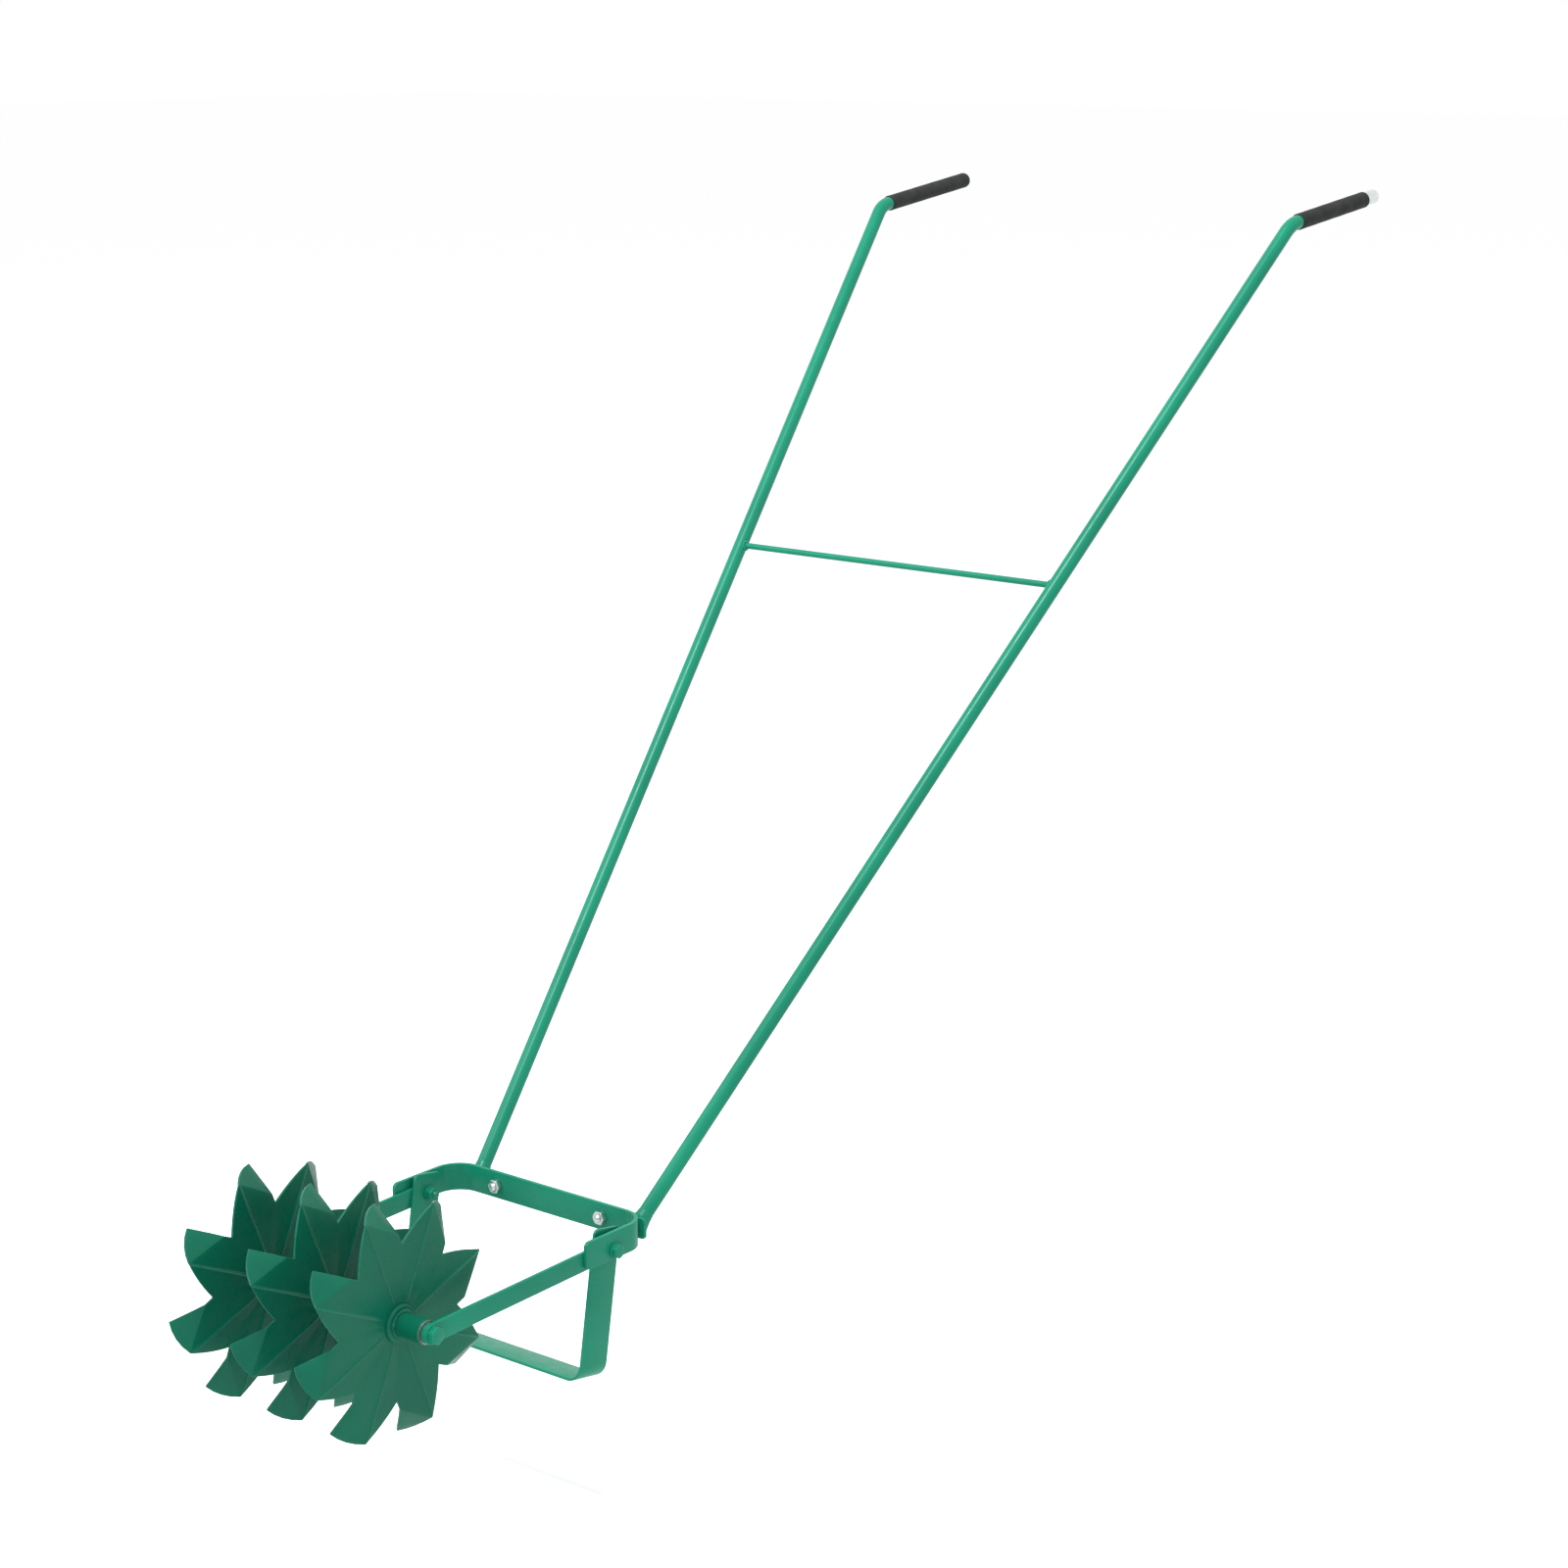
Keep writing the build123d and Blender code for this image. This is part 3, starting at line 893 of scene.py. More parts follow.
@dataclass
class Rotor:
    """Three stamped star wheels on one hub tube, with collars and weld beads."""

    shop: Workshop
    sheet: float = 0.0025
    teeth: int = 8
    tip_radius: float = 0.11895
    corner_radius: float = 0.117
    valley_radius: float = 0.078
    tip_angle: float = -5.0
    corner_lag: float = 15.0
    valley_lead: float = 9.5
    tip_bend: float = 0.018
    rim_bulge: float = 0.0035
    back_bulge: float = 0.0018
    fold_share: float = 0.25
    hub_radius: float = 0.012
    ridge_width: float = 0.0032
    ridge_height: float = 0.0009
    pleat_height: float = 0.0009
    ring_shares: tuple = (0.0, 0.06, 0.14, 0.24, 0.42, 0.62, 0.80, 0.92, 0.975, 1.0)
    crease_shares: tuple = (0.34, 0.67, 1.0)
    swell_margin: float = 0.06
    swell_run: float = 0.16
    bore: float = 0.0091
    edge_soft: float = 0.0006
    bead_pitch: float = 0.0019
    bead_size: float = 0.0020

    def __post_init__(self) -> None:
        """Find the axle."""
        self.axle = self.shop.joint("rotor_spin")

    def polar(self, radius: float, angle: float, x: float = 0.0) -> Vector:
        """A point of a wheel; 0 degrees is forward and 90 degrees is up."""
        turn = math.radians(angle)
        return Vector((x, -radius * math.cos(turn), radius * math.sin(turn)))

    def bulged(self, start: Vector, end: Vector, away: Vector, bulge: float, steps: int) -> list[Vector]:
        """Points from start to end along a shallow arc.

        Args:
            start: First point.
            end: Last point.
            away: A point that the arc bulges away from, in the arc's plane.
            bulge: Height of the arc over its chord.
            steps: Number of steps.

        Returns:
            The points, both ends included.
        """
        chord = (end - start).normalized()
        side = (start + end) / 2.0 - away
        side = (side - chord * side.dot(chord)).normalized()
        shares = [k / steps for k in range(steps + 1)]
        return [start.lerp(end, s) + side * (4.0 * bulge * s * (1.0 - s)) for s in shares]

    def outline(self) -> tuple[list[Vector], list[float]]:
        """Lay out one sector, from its outer corner to the next tooth's.

        Returns:
            Points of the rim, and the angle on the hub that each of them starts from.
        """
        first = self.tip_angle - self.corner_lag
        step = 360.0 / self.teeth
        corner = self.polar(self.corner_radius, first)
        tip = self.polar(self.tip_radius, self.tip_angle)
        valley = self.polar(self.valley_radius, self.tip_angle + self.valley_lead)
        fold = valley.lerp(tip, self.fold_share)
        after = self.polar(self.corner_radius, first + step)
        flank = self.ridge_width / 2.0
        lead = flank / (fold - corner).length
        back = self.bulged(valley, after, Vector((0.0, 0.0, 0.0)), self.back_bulge, 6)
        back.insert(6, back[5].lerp(after, 1.0 - 2.0 * flank / (after - valley).length))
        rim = [corner, corner.lerp(fold, lead)]
        rim += [corner.lerp(fold, s) for s in (0.35, 0.7)] + [fold] + back
        hub_flank = math.degrees(flank / self.hub_radius)
        inner = [first, first + hub_flank]
        count = len(rim) - 4
        span = step - 2.0 * hub_flank
        inner += [first + hub_flank + span * (k + 1) / (count + 1) for k in range(count)]
        inner += [first + step - hub_flank, first + step]
        return rim, inner

    def heights(self, count: int) -> list[float]:
        """Height of each radial line over the flat sheet, at mid radius.

        Args:
            count: Number of lines in a sector.

        Returns:
            The heights, highest on the ribs at both ends.
        """
        half = count / 2.0 - 1.0
        shares = [max(0.0, min(k - 1, count - 2 - k) / half) for k in range(count)]
        lines = [self.pleat_height * max(0.0, 1.0 - share) for share in shares]
        lines[0] = lines[-1] = self.pleat_height + self.ridge_height
        return lines

    def sector(self) -> Shape:
        """One tooth with its share of the disc, as a sheet without thickness.

        Returns:
            The open sheet, with its bent-over corner.
        """
        rim, inner = self.outline()
        heights = self.heights(len(rim))
        shape = Shape()
        rows = []
        for share in self.ring_shares:
            rise = min(1.0, max(0.0, (share - self.swell_margin) / self.swell_run))
            swell = rise * min(1.0, (1.0 - share) / self.swell_margin)
            row = []
            for outer, angle, height in zip(rim, inner, heights):
                point = self.polar(self.hub_radius, angle).lerp(outer, share)
                point.x += height * swell
                row.append(point)
            rows.append(shape.ring(row))
        for lower, upper in zip(rows, rows[1:]):
            shape.band(lower, upper, closed=False)
        self.fold_corner(shape, rows[-1][:5])
        return shape

    def fold_corner(self, shape: Shape, crease: list[int]) -> None:
        """Add the bent-over corner beyond its crease.

        Args:
            shape: The sector, which gets the new faces.
            crease: Numbers of the crease's corners, from the rim inwards.
        """
        first, last = shape.points[crease[0]], shape.points[crease[-1]]
        tip = self.polar(self.tip_radius, self.tip_angle, -self.tip_bend)
        edge = self.bulged(first, tip, last, self.rim_bulge, len(crease) - 1)
        row = crease
        for share in self.crease_shares:
            spread = [shape.points[a].lerp(b, share) for a, b in zip(crease[1:], edge[1:])]
            further = [crease[0]] + shape.ring(spread)
            shape.band(row, further, closed=False)
            row = further
        shape.faces = [tuple(dict.fromkeys(face)) for face in shape.faces]

    def wheel(self, name: str, x: float) -> bpy.types.Object:
        """One wheel, its sector repeated round the axle.

        Args:
            name: Name of the piece.
            x: Where the sheet's middle lies on the axle.

        Returns:
            The finished wheel.
        """
        obj = self.sector().to_object(name)
        self.shop.repeater.run(
            obj,
            self.shop.finish(Slot.GREEN),
            Count=self.teeth,
            Start=(x, self.axle.y, self.axle.z),
            Step=(0, 0, 0),
            Turn=(-math.radians(360.0 / self.teeth), 0.0, 0.0),
        )
        wall = obj.modifiers.new("sheet", "SOLIDIFY")
        wall.thickness = self.sheet
        wall.offset = 0.0
        wall.use_even_offset = True
        soften(obj, 0.0007, 2, 24.0)
        return obj

    def bead_ring(self, name: str, x: float, radius: float, seed: int) -> bpy.types.Object:
        """A ring of weld ripples round the hub.

        Args:
            name: Name of the piece.
            x: Place on the axle.
            radius: Radius of the ring.
            seed: Seed of the ripples' sizes.

        Returns:
            The finished ring.
        """
        middle = Vector((x, self.axle.y, self.axle.z))
        ring = [self.polar(radius, 10.0 * k) + middle for k in range(36)]
        obj = self.shop.line(name, ring, closed=True)
        paint = self.shop.finish(Slot.GREEN)
        self.shop.beads.run(obj, paint, Pitch=self.bead_pitch, Size=self.bead_size, Seed=seed)
        smooth(obj)
        return obj

    def turned(self, name: str, profile: Sequence[tuple[float, float]], x: float) -> bpy.types.Object:
        """A turned piece on the axle.

        Args:
            name: Name of the piece.
            profile: (radius, distance) along +X.
            x: Where the profile starts.

        Returns:
            The finished piece.
        """
        place = Vector((x, self.axle.y, self.axle.z))
        obj = lathe(profile, 64).moved(axis_frame(place, X_AXIS)).to_object(name)
        tidy(obj)
        smooth(obj)
        return obj

    def build(self) -> None:
        """Build and hand over the whole rotor."""
        low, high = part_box("hub_tube")
        length, outer, soft = high.x - low.x, self.hub_radius, self.edge_soft
        tube = [
            (self.bore, 0.0),
            (outer - soft, 0.0),
            (outer, soft),
            (outer, length - soft),
            (outer - soft, length),
            (self.bore, length),
            (self.bore, 0.0),
        ]
        hub = self.turned("rotor_hub_tube", tube, low.x)
        self.shop.hand_over(hub, Body.ROTOR, Slot.GREEN, "hub_tube")
        for seed, side in enumerate(("left", "middle", "right")):
            self.station(side, seed)

    def station(self, side: str, seed: int) -> None:
        """One wheel with its collar and its two rings of weld.

        Args:
            side: Which wheel, as the CAD names it.
            seed: Seed of the weld ripples.
        """
        start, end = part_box(f"hub_collar_{side}")
        x = start.x - self.sheet / 2.0
        wheel = self.wheel(f"{side}_star_wheel", x)
        self.shop.hand_over(wheel, Body.ROTOR, Slot.GREEN, f"star_wheel_{side}")
        hole, reach, thick = self.hub_radius + 0.0001, (end.z - start.z) / 2.0, end.x - start.x
        rim = [
            (hole, 0.0),
            (reach, 0.0),
            (reach, thick * 0.55),
            (reach - 2.0 * self.edge_soft, thick),
            (hole, thick),
            (hole, 0.0),
        ]
        collar = self.turned(f"{side}_hub_collar", rim, start.x)
        self.shop.hand_over(collar, Body.ROTOR, Slot.GREEN, f"hub_collar_{side}")
        round_hub = self.hub_radius + 0.0008
        front = self.bead_ring(f"{side}_hub_bead", end.x + 0.0002, round_hub, seed)
        self.shop.hand_over(front, Body.ROTOR, Slot.GREEN)
        back = self.bead_ring(f"{side}_back_bead", x - self.sheet / 2.0, round_hub, seed + 5)
        self.shop.hand_over(back, Body.ROTOR, Slot.GREEN)


# ----------------------------------------------------------------------------- flat bars


def plate(outline: Sequence[tuple[float, float]], thick: float) -> Shape:
    """A flat plate standing on local Z = 0.

    Args:
        outline: Corners in local X and Y.
        thick: Thickness of the plate.

    Returns:
        The closed shape.
    """
    shape = Shape()
    foot = shape.ring([Vector((x, y, 0.0)) for x, y in outline])
    top = shape.ring([Vector((x, y, thick)) for x, y in outline])
    shape.band(foot, top)
    shape.faces += [tuple(reversed(foot)), tuple(top)]
    return shape


def arc(
    centre: tuple[float, float], radius: float, start: float, end: float, steps: int
) -> list[tuple[float, float]]:
    """Points on a flat arc, angles in degrees."""
    turns = [math.radians(start + (end - start) * k / steps) for k in range(steps + 1)]
    return [(centre[0] + radius * math.cos(t), centre[1] + radius * math.sin(t)) for t in turns]


def bent_bar(
    line: Sequence[Vector], across: Vector, width: float, thick: float, nose: float
) -> Shape:
    """A flat bar bent along a line, with rounded corners at its two ends.

    Args:
        line: Middle line of the bar, from end to end.
        across: Direction of the bar's width, at right angles to the line's plane.
        width: Width of the bar.
        thick: Thickness of the bar.
        nose: Radius of the rounded corners at both ends.

    Returns:
        The closed shape.
    """
    reach = [0.0]
    for first, second in zip(line, line[1:]):
        reach.append(reach[-1] + (second - first).length)
    total = reach[-1]
    cuts = [nose * (1.0 - math.cos(math.radians(a))) for a in (0, 15, 30, 45, 60, 75)]
    between = [r for r in reach if nose < r < total - nose]
    stations = sorted(set(cuts + [total - cut for cut in cuts] + between + [nose, total - nose]))
    shape = Shape()
    rows = []
    for station in stations:
        index = min(max(k for k, r in enumerate(reach) if r <= station + 1e-9), len(line) - 2)
        share = (station - reach[index]) / (reach[index + 1] - reach[index])
        middle = line[index].lerp(line[index + 1], share)
        before = (line[index + 1] - line[index]).normalized()
        if share < 1e-6 and index:
            before = (before + (line[index] - line[index - 1]).normalized()).normalized()
        side = before.cross(across).normalized() * (thick / 2.0)
        edge = min(station, total - station)
        trim = nose - math.sqrt(max(0.0, nose**2 - max(0.0, nose - edge) ** 2))
        half = across * (width / 2.0 - trim)
        section = [
            middle + side + half,
            middle - side + half,
            middle - side - half,
            middle + side - half,
        ]
        rows.append(shape.ring(section))
    for lower, upper in zip(rows, rows[1:]):
        shape.band(lower, upper)
    shape.faces += [tuple(reversed(rows[0])), tuple(rows[-1])]
    return shape


def u_line(half: float, near: float, far: float, corner: float) -> list[tuple[float, float]]:
    """Middle line of a U in its own plane, from the left arm round to the right arm.

    Args:
        half: Distance of each arm from the middle.
        near: Where the arms end.
        far: Where the cross part lies.
        corner: Radius of both corners.

    Returns:
        Points of the line.
    """
    steps = 18
    right = arc((half - corner, far - corner), corner, 0.0, 90.0, steps)
    left = arc((corner - half, far - corner), corner, 90.0, 180.0, steps)
    return [(half, near)] + right + left + [(-half, near)]


@dataclass
class Chassis:
    """U bracket, handle strap, front arms, stirrup blade and all their fasteners."""

    shop: Workshop
    strap: float = 0.004
    corner: float = 0.030
    nose: float = 0.006
    blade_thick: float = 0.003
    blade_width: float = 0.038
    blade_forward: float = 0.023
    blade_corner: float = 0.018
    blade_lean: float = 9.5
    blade_drop: float = 0.137
    blade_rise: float = 0.0215
    arm_height: float = 0.020

    def __post_init__(self) -> None:
        """Find the axle and the side joints."""
        self.axle = self.shop.joint("rotor_spin")
        self.pivot = self.shop.joint("arm_tilt")

    def bar(self, name: str, shape: Shape, rounding: float = 0.0007) -> bpy.types.Object:
        """A bar or plate with softened edges.

        Args:
            name: Name of the piece.
            shape: Its sharp shape.
            rounding: Width of the rounded edges.

        Returns:
            The finished piece.
        """
        obj = shape.to_object(name)
        tidy(obj)
        soften(obj, rounding, 3)
        return obj

    def bracket(self) -> None:
        """The flat strap bent in a U, wide face upright."""
        low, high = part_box("u_bracket")
        half = self.strap / 2.0
        line = u_line(high.x - half, low.y, high.y - half, self.corner - half)
        level = (low.z + high.z) / 2.0
        points = [Vector((x, y, level)) for x, y in line]
        shape = bent_bar(points, Z_AXIS, high.z - low.z, self.strap, self.nose)
        self.shop.hand_over(self.bar("bracket_bar", shape), Body.HANDLE, Slot.GREEN, "u_bracket")

    def blade(self) -> None:
        """The stirrup: a strap that hangs from the side joints, its bottom the blade."""
        low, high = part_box("stirrup_blade")
        half = self.blade_thick / 2.0
        lean = math.radians(self.blade_lean)
        across = Vector((0.0, math.cos(lean), -math.sin(lean)))
        down = Vector((0.0, -math.sin(lean), -math.cos(lean)))
        middle = self.pivot + across * (self.blade_width / 2.0 - self.blade_forward)
        line = u_line(high.x - half, -self.blade_rise, self.blade_drop - half, self.blade_corner - half)
        points = [middle + X_AXIS * x + down * d for x, d in line]
        shape = bent_bar(points, across, self.blade_width, self.blade_thick, self.nose)
        self.shop.hand_over(self.bar("stirrup_bar", shape), Body.BLADE, Slot.GREEN, "stirrup_blade")

    def handle_strap(self) -> None:
        """The flat bar behind the bracket that joins the tubes."""
        low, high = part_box("handle_strap")
        wide, tall, soft = high.x, (high.z - low.z) / 2.0, 0.004
        outline = []
        for x, z, start in ((1, 1, 0), (-1, 1, 90), (-1, -1, 180), (1, -1, 270)):
            outline += arc((x * (wide - soft), z * (tall - soft)), soft, start, start + 90, 5)
        turn = Matrix.Rotation(math.radians(90.0), 4, "X")
        place = Matrix.Translation((0.0, high.y, (low.z + high.z) / 2.0))
        obj = self.bar("handle_strap_bar", plate(outline, high.y - low.y).moved(place @ turn))
        self.shop.hand_over(obj, Body.HANDLE, Slot.GREEN, "handle_strap")

    def front_arms(self) -> None:
        """The two flat bars from the side joints to the axle."""
        run = self.pivot - self.axle
        length, tilt = math.hypot(run.y, run.z), math.atan2(run.z, run.y)
        reach = self.arm_height / 2.0
        outline = arc((length, 0.0), reach, -90, 90, 20) + arc((0.0, 0.0), reach, 90, 270, 20)
        local = Matrix(((0, 0, 1, 0), (1, 0, 0, 0), (0, 1, 0, 0), (0, 0, 0, 1)))
        for side in ("left", "right"):
            low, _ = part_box(f"front_arm_{side}")
            place = Matrix.Translation((low.x, self.axle.y, self.axle.z))
            turn = Matrix.Rotation(tilt, 4, "X")
            shape = plate(outline, self.strap).moved(place @ turn @ local)
            obj = self.bar(f"{side}_front_bar", shape)
            self.shop.hand_over(obj, Body.FRONT, Slot.GREEN, f"front_arm_{side}")

    def fastener(self, name: str, parts: Sequence[tuple[Shape, Vector, Vector]]) -> bpy.types.Object:
        """Join hexagons, bolt ends and washers into one piece.

        Args:
            name: Name of the piece.
            parts: (shape, place, heading) of each part.

        Returns:
            The softened piece.
        """
        whole = Shape()
        for shape, place, heading in parts:
            whole = whole.joined(shape.moved(axis_frame(place, heading)))
        obj = whole.to_object(name)
        tidy(obj, 1e-6)
        soften(obj, 0.00025, 2, 35.0)
        return obj

    def strap_fasteners(self) -> None:
        """Two bolts through bracket and strap: bright nuts in front, heads behind."""
        low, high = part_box("strap_bolts")
        nut_low, nut_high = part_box("strap_nuts")
        x = nut_high.x - M8.nut_across / math.sqrt(3.0)
        level = (nut_low.z + nut_high.z) / 2.0
        step, face = (-2.0 * x, 0.0, 0.0), nut_high.y
        nut = hex_blank(M8.nut_across, M8.nut_height, M8.radius * 0.98, True)
        end = bolt_end(M8.radius, face - low.y, M8.pitch)
        here = Vector((x, face, level))
        nuts = self.fastener("bright_strap_nuts", [(nut, here, -Y_AXIS)])
        self.pair(nuts, step)
        self.shop.hand_over(nuts, Body.HANDLE, Slot.PLATED, "strap_nuts")
        seat = high.y - M8.head_height
        head = hex_blank(M8.head_across, M8.head_height, 0.0, False)
        bolts = self.fastener(
            "strap_bolt_set", [(end, here, -Y_AXIS), (head, Vector((x, seat, level)), Y_AXIS)]
        )
        self.pair(bolts, step)
        self.shop.hand_over(bolts, Body.HANDLE, Slot.PLATED, "strap_bolts")

    def pair(self, obj: bpy.types.Object, step: tuple) -> None:
        """Make a second copy of a piece a step away."""
        self.shop.repeater.run(
            obj, self.shop.finish(Slot.PLATED), Count=2, Start=(0, 0, 0), Step=step, Turn=(0, 0, 0)
        )
        smooth(obj)

    def beside(self, centre: Vector, x: float) -> Vector:
        """The point of a cross axis at an X position."""
        return Vector((x, centre.y, centre.z))

    def side_joint(self, side: str, sign: float) -> None:
        """One side bolt with its head, nut and washers, painted over.

        Args:
            side: Side of the tool, as the CAD names it.
            sign: 1 for the left, -1 for the right.
        """
        near, far = (1, 0) if sign > 0 else (0, 1)
        bolt_box, nut_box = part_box(f"side_bolt_{side}"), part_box(f"side_nut_{side}")
        nut_out, nut_in = nut_box[near].x, nut_box[far].x
        tip = bolt_box[far].x
        seat = bolt_box[near].x - sign * M8.head_height
        out = X_AXIS * sign
        head = hex_blank(M8.head_across, M8.head_height, 0.0, False)
        ring = washer(M8.radius * 1.02, M8.washer_radius, M8.washer_thick)
        nut = hex_blank(M8.nut_across, M8.nut_height, M8.radius * 0.98, True)
        end = bolt_end(M8.radius, abs(nut_out - tip), M8.pitch)
        nut_face = self.beside(self.pivot, nut_out)
        parts = [(head, self.beside(self.pivot, seat), out), (end, nut_face, -out)]
        bolt = self.fastener(f"{side}_side_bolt", parts)
        self.shop.hand_over(bolt, Body.HANDLE, Slot.GREEN, f"side_bolt_{side}")
        inner_face = self.beside(self.pivot, nut_in)
        locknut = self.fastener(f"{side}_side_nut", [(nut, inner_face, out)])
        self.shop.hand_over(locknut, Body.HANDLE, Slot.GREEN, f"side_nut_{side}")
        under_head = self.beside(self.pivot, seat - sign * M8.washer_thick)
        rings = [(ring, under_head, out), (ring, nut_face, out)]
        washers = self.fastener(f"{side}_side_washers", rings)
        replaced = ("side_washers",) if sign > 0 else ()
        self.shop.hand_over(washers, Body.HANDLE, Slot.GREEN, *replaced)

    def axle_fasteners(self) -> None:
        """Axle bolt head on the left, nut on the right and four washers."""
        low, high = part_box("axle_bolt")
        _, nut_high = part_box("axle_nut")
        seat = high.x - M10.head_height
        run = seat - nut_high.x
        head = hex_blank(M10.head_across, M10.head_height, 0.0, False)
        shank = lathe([(0.0, 0.0), (M10.radius, 0.0), (M10.radius, run), (0.0, run)], 32)
        end = bolt_end(M10.radius, nut_high.x - low.x, M10.pitch)
        nut_face = self.beside(self.axle, nut_high.x)
        parts = [
            (head, self.beside(self.axle, seat), X_AXIS),
            (shank, nut_face, X_AXIS),
            (end, nut_face, -X_AXIS),
        ]
        bolt = self.fastener("axle_through_bolt", parts)
        self.shop.hand_over(bolt, Body.FRONT, Slot.GREEN, "axle_bolt")
        nut = hex_blank(M10.nut_across, M10.nut_height, M10.radius * 0.98, True)
        nut_piece = self.fastener("axle_end_nut", [(nut, nut_face, -X_AXIS)])
        self.shop.hand_over(nut_piece, Body.FRONT, Slot.GREEN, "axle_nut")
        ring = washer(M10.radius * 1.02, M10.washer_radius, M10.washer_thick)
        arm_low, arm_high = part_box("front_arm_left")
        spots = [arm_high.x, arm_low.x - M10.washer_thick]
        rings = [(ring, self.beside(self.axle, x), X_AXIS) for x in spots]
        rings += [(ring, self.beside(self.axle, -x), -X_AXIS) for x in spots]
        washers = self.fastener("axle_washer_set", rings)
        self.shop.hand_over(washers, Body.FRONT, Slot.GREEN, "axle_washers")

    def build(self) -> None:
        """Build and hand over every piece."""
        self.bracket()
        self.blade()
        self.handle_strap()
        self.front_arms()
        self.strap_fasteners()
        self.side_joint("left", 1.0)
        self.side_joint("right", -1.0)
        self.axle_fasteners()


# ----------------------------------------------------------------------------- handles


@dataclass
class Handles:
    """Two splayed tubes, the cross rod, their welds and the grips."""

    shop: Workshop
    radius: float = 0.008
    rod_radius: float = 0.0035
    bend_radius: float = 0.036
    foot: tuple = (0.1125, 0.3210, 0.0137)
    bend: tuple = (0.2895, 1.2540, 0.9717)
    end: tuple = (0.2943, 1.4355, 0.9953)
    grip_start: float = 0.015
    grip_wall: float = 0.0013
    bare_end: float = 0.023
    bare_wall: float = 0.0015
    bare_depth: float = 0.012
    flare: tuple = (
        (0.0120, 0.0), (0.0112, 0.003), (0.0100, 0.008), (0.0090, 0.013), (0.0082, 0.020),
    )
    foot_ring: float = 0.0108
    end_cap: float = 0.003

    def __post_init__(self) -> None:
        """Place the tube's three corners in the row frame, measured from the axle."""
        axle = self.shop.joint("rotor_spin")
        self.foot_point, self.bend_point, self.end_point = (
            Vector(point) + axle for point in (self.foot, self.bend, self.end)
        )
        self.climb = (self.bend_point - self.foot_point).normalized()
        self.reach = (self.end_point - self.bend_point).normalized()

    def handed(self, point: Vector, sign: float) -> Vector:
        """A left-hand point, or its mirror image for the right."""
        return Vector((point.x * sign, point.y, point.z))

    def trim(self, obj: bpy.types.Object) -> None:
        """Cut a foot flush with the back face and lower edge of the handle strap.

        Args:
            obj: Object to change.
        """
        low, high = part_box("handle_strap")
        keep_side(obj, Vector((0.0, high.y, 0.0)), Y_AXIS)
        keep_side(obj, Vector((0.0, 0.0, low.z)), Z_AXIS)

    def tube(self, side: str, sign: float) -> None:
        """One handle tube, bent near its top.

        Args:
            side: Side of the tool, as the CAD names it.
            sign: 1 for the left, -1 for the right.
        """
        start = self.foot_point - self.climb * (2.5 * self.radius)
        finish = self.end_point - self.reach * self.bare_end
        corners = [self.handed(p, sign) for p in (start, self.bend_point, finish)]
        obj = self.shop.line(f"{side}_handle_tube", corners)
        self.shop.drawer.run(
            obj,
            self.shop.finish(Slot.GREEN),
            Radius=self.radius,
            Bend=self.bend_radius,
            Steps=20,
            Sides=48,
        )
        self.trim(obj)
        smooth(obj)
        self.shop.hand_over(obj, Body.HANDLE, Slot.GREEN, f"handle_tube_{side}")

    def foot_weld(self, side: str, sign: float) -> None:
        """The flared weld at a tube's foot.

        Args:
            side: Side of the tool, as the CAD names it.
            sign: 1 for the left, -1 for the right.
        """
        start = self.foot_point - self.climb * (1.5 * self.radius)
        profile = [(0.0, 0.0), *self.flare, (0.0, self.flare[-1][1])]
        heading = self.handed(self.climb, sign)
        shape = lathe(profile, 48).moved(axis_frame(self.handed(start, sign), heading))
        obj = shape.to_object(f"{side}_foot_weld")
        tidy(obj)
        self.trim(obj)
        smooth(obj)
        self.shop.hand_over(obj, Body.HANDLE, Slot.GREEN, f"tube_weld_{side}")

    def foot_bead(self, side: str, sign: float) -> None:
        """The ripples of weld where a tube's foot meets the strap's back face.

        Args:
            side: Side of the tool, as the CAD names it.
            sign: 1 for the left, -1 for the right.
        """
        low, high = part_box("handle_strap")
        flat = self.climb.cross(X_AXIS).normalized()
        other = self.climb.cross(flat).normalized()
        ring = []
        for step in range(48):
            turn = 2.0 * math.pi * step / 48
            away = flat * math.cos(turn) + other * math.sin(turn)
            point = self.foot_point + away * self.foot_ring
            point = point + self.climb * ((high.y + 0.0006 - point.y) / self.climb.y)
            if point.z > low.z + 0.002 and point.z < high.z + 0.001:
                ring.append(self.handed(point, sign))
        gap = max(range(len(ring)), key=lambda k: (ring[k] - ring[k - 1]).length)
        ring = ring[gap:] + ring[:gap]
        bead = self.shop.line(f"{side}_foot_bead", ring)
        self.shop.beads.run(bead, self.shop.finish(Slot.GREEN), Pitch=0.0017, Size=0.0021, Seed=11)
        smooth(bead)
        self.shop.hand_over(bead, Body.HANDLE, Slot.GREEN)

    def rod(self) -> None:
        """The thin cross rod, let into both tubes."""
        low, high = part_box("cross_rod")
        inside = 0.001
        points = [Vector((low.x - inside, 0.0, 0.0)), Vector((high.x + inside, 0.0, 0.0))]
        obj = self.shop.line("cross_bar", points)
        self.shop.drawer.run(
            obj, self.shop.finish(Slot.GREEN), Radius=self.rod_radius, Bend=0.0, Steps=1, Sides=32
        )
        smooth(obj)
        self.shop.hand_over(obj, Body.HANDLE, Slot.GREEN, "cross_rod")

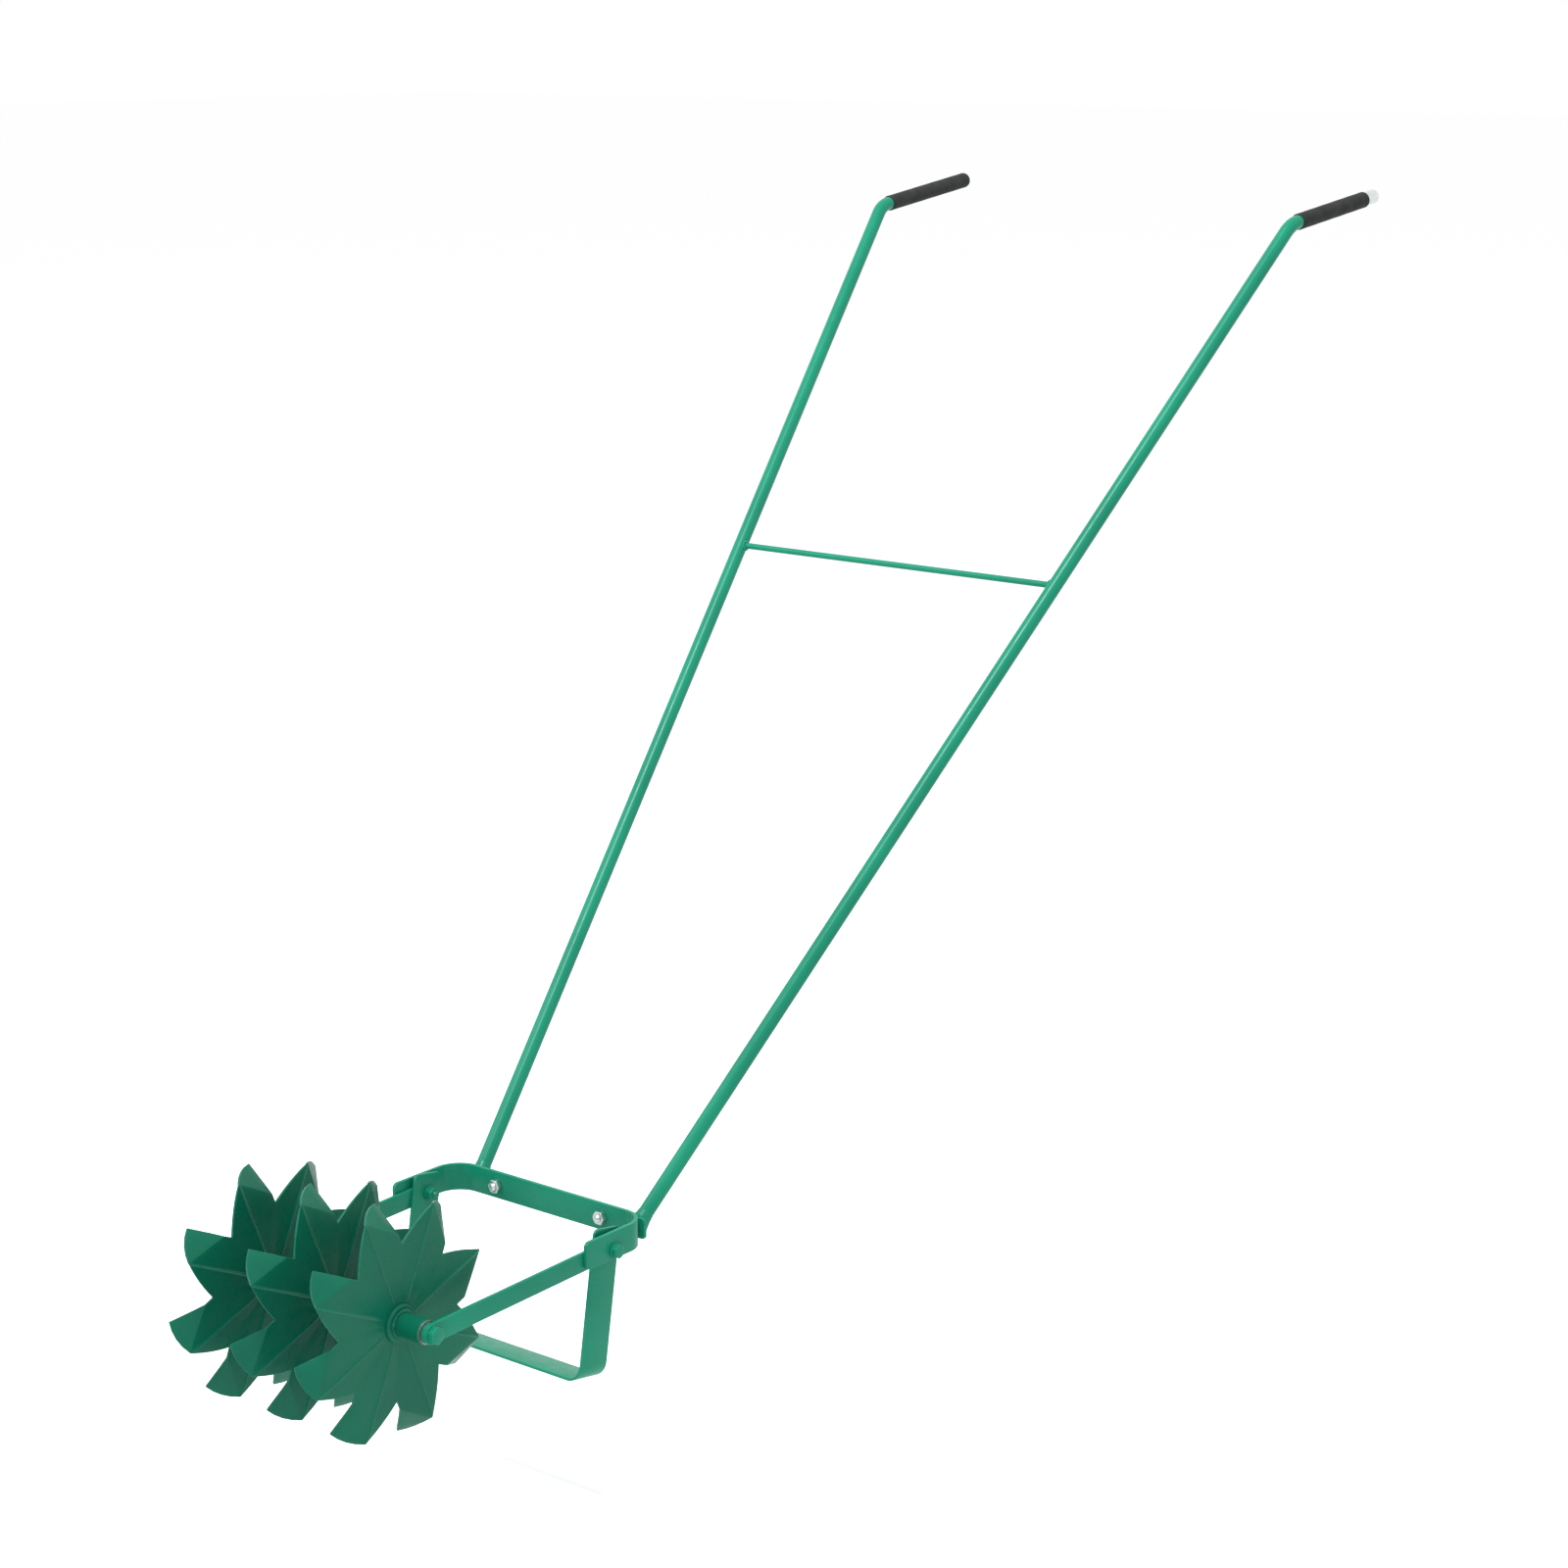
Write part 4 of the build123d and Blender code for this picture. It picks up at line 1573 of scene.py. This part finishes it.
    def rod_weld(self, side: str, sign: float) -> None:
        """Ripples of weld where the cross rod meets a tube.

        Args:
            side: Side of the tool, as the CAD names it.
            sign: 1 for the left, -1 for the right.
        """
        ring = []
        reach = self.rod_radius + 0.0009
        side_way = X_AXIS - self.climb * self.climb.x
        for step in range(36):
            turn = 2.0 * math.pi * step / 36
            point = Vector((0.0, reach * math.cos(turn), reach * math.sin(turn)))
            away = point - self.foot_point
            away -= self.climb * away.dot(self.climb)
            a, b = side_way.length_squared, 2.0 * away.dot(side_way)
            c = away.length_squared - self.radius**2
            x = (-b - math.sqrt(max(0.0, b * b - 4.0 * a * c))) / (2.0 * a)
            ring.append(self.handed(Vector((x, point.y, point.z)), sign))
        obj = self.shop.line(f"{side}_rod_bead", ring, closed=True)
        self.shop.beads.run(obj, self.shop.finish(Slot.GREEN), Pitch=0.0013, Size=0.0016, Seed=21)
        smooth(obj)
        self.shop.hand_over(obj, Body.HANDLE, Slot.GREEN, f"rod_weld_{side}")

    def sleeve(self, name: str, side: str, sign: float, length: float, closed: bool) -> None:
        """One foam grip.

        Args:
            name: Name of the piece.
            side: CAD side it stands for.
            sign: 1 for the left, -1 for the right.
            length: Length of the sleeve.
            closed: Whether it covers the tube's end.
        """
        inner, outer = self.radius * 1.005, self.radius + self.grip_wall
        soft = 0.0012
        lip = ((outer - soft * 0.6, 0.0), (outer - soft * 0.2, soft * 0.4), (outer, soft))
        profile = [(inner, 0.0), *lip]
        waves = 10
        for k in range(1, waves):
            dip = 0.00012 * (k % 2)
            profile.append((outer - dip, length * k / waves))
        if closed:
            inside = length - self.end_cap
            profile += [(outer, length - 0.004), (outer * 0.93, length - 0.0016)]
            profile += [(outer * 0.72, length - 0.0004), (0.0, length)]
            profile += [(0.0, inside), (inner, inside), (inner, 0.0)]
        else:
            profile += [(outer, length - soft), (outer - soft * 0.2, length - soft * 0.4)]
            profile += [(outer - soft * 0.6, length), (inner, length), (inner, 0.0)]
        start = self.bend_point + self.reach * self.grip_start
        matrix = axis_frame(self.handed(start, sign), self.handed(self.reach, sign))
        obj = lathe(profile, 64).moved(matrix).to_object(name)
        tidy(obj)
        smooth(obj, math.radians(50.0))
        self.shop.hand_over(obj, Body.HANDLE, Slot.GRIP, f"grip_{side}")

    def bare_stub(self) -> None:
        """The bare tube end that shows past the left grip, open at its end."""
        start = self.end_point - self.reach * self.bare_end
        length, floor = self.bare_end, self.bare_end - self.bare_depth
        outer, inner = self.radius, self.radius - self.bare_wall
        profile = [
            (0.0, 0.0),
            (outer, 0.0),
            (outer, length - 0.0005),
            (outer - 0.0004, length),
            (inner + 0.0003, length),
            (inner, length - 0.0003),
            (inner, floor),
            (0.0, floor),
        ]
        obj = lathe(profile, 64).moved(axis_frame(start, self.reach)).to_object("left_bare_stub")
        tidy(obj)
        smooth(obj)
        self.shop.hand_over(obj, Body.HANDLE, Slot.PLATED, "end_plug_left")

    def build(self) -> None:
        """Build and hand over every piece."""
        for side, sign in (("left", 1.0), ("right", -1.0)):
            self.tube(side, sign)
            self.foot_weld(side, sign)
            self.foot_bead(side, sign)
            self.rod_weld(side, sign)
        self.rod()
        run = (self.end_point - self.bend_point).length - self.grip_start
        self.sleeve("left_foam_grip", "left", 1.0, run - self.bare_end, False)
        self.sleeve("right_foam_grip", "right", -1.0, run + self.end_cap, True)
        self.bare_stub()


# ----------------------------------------------------------------------------- studio


@dataclass
class Studio:
    """Pale floor, soft light and the camera."""

    shop: Workshop
    camera_place: tuple = (2.1506, -2.9010, 0.6117)
    azimuth: float = 38.49
    elevation: float = 13.50
    lens: float = 74.25
    sensor: float = 36.0
    floor_size: float = 80.0
    floor_tone: float = 0.99
    floor_gap: float = 0.002
    wheel_reach: float = 0.1215

    def lowest_reach(self) -> float:
        """Find how low the tool reaches, with the front arms hanging at their limit.

        Returns:
            The lowest height of the tool over all its settings.
        """
        pivot = self.shop.joint("arm_tilt")
        arm = self.shop.joint("rotor_spin") - pivot
        limit = math.radians(max(self.shop.joint_row("arm_tilt")["range_deg"]))
        hanging = pivot.z + arm.y * math.sin(limit) + arm.z * math.cos(limit) - self.wheel_reach
        return min(CAD_BOX[0].z, hanging)

    def floor(self) -> None:
        """A plain pale floor under the tool."""
        half, level = self.floor_size / 2.0, self.lowest_reach() - self.floor_gap
        square = ((-half, -half), (half, -half), (half, half), (-half, half))
        shape = Shape([Vector((x, y, level)) for x, y in square], [(0, 1, 2, 3)])
        obj = shape.to_object("studio_floor")
        material, _, pale = shader("pale_floor")
        pale.inputs["Base Color"].default_value = (self.floor_tone,) * 3 + (1.0,)
        pale.inputs["Roughness"].default_value = 0.9
        pale.inputs["Specular IOR Level"].default_value = 0.0
        obj.data.materials.append(material)
        obj.visible_glossy = False

    def world(self) -> None:
        """Even pale light from all round."""
        world = bpy.data.worlds.new("studio_world")
        world.use_nodes = True
        background = world.node_tree.nodes["Background"]
        background.inputs["Color"].default_value = (1.0, 1.0, 1.0, 1.0)
        background.inputs["Strength"].default_value = 1.0
        bpy.context.scene.world = world
        bpy.context.scene.view_settings.view_transform = "Standard"

    def lamp(self, name: str, place: tuple, size: float, power: float) -> None:
        """One soft square light aimed at the tool's middle.

        Args:
            name: Name of the light.
            place: Where it stands.
            size: Side of the square.
            power: Power in watts.
        """
        light = bpy.data.lights.new(name, "AREA")
        light.shape = "SQUARE"
        light.size = size
        light.energy = power
        obj = bpy.data.objects.new(name, light)
        bpy.context.scene.collection.objects.link(obj)
        middle = (CAD_BOX[0] + CAD_BOX[1]) / 2.0
        obj.location = place
        obj.rotation_euler = (middle - Vector(place)).to_track_quat("-Z", "Y").to_euler()

    def camera(self) -> None:
        """The camera, level and looking down at the tool from its front left."""
        camera = bpy.data.cameras.new("studio_camera")
        camera.lens = self.lens
        camera.sensor_width = self.sensor
        camera.clip_end = 120.0
        obj = bpy.data.objects.new("studio_camera", camera)
        obj.location = self.camera_place
        obj.rotation_euler = (math.radians(90.0 - self.elevation), 0.0, math.radians(self.azimuth))
        bpy.context.scene.collection.objects.link(obj)
        bpy.context.scene.camera = obj

    def build(self) -> None:
        """Set up everything."""
        self.floor()
        self.world()
        self.lamp("top_light", (0.1, -1.6, 3.5), 1.1, 165.0)
        self.lamp("side_light", (-2.4, -2.2, 2.2), 1.2, 30.0)
        self.camera()


def main() -> None:
    """Build the tool's looks, then the studio."""
    logging.basicConfig(level=logging.INFO, format="%(message)s")
    shop = Workshop(frame)
    for assembly in (Rotor(shop), Chassis(shop), Handles(shop), Studio(shop)):
        assembly.build()


if __name__ == "__main__":
    main()
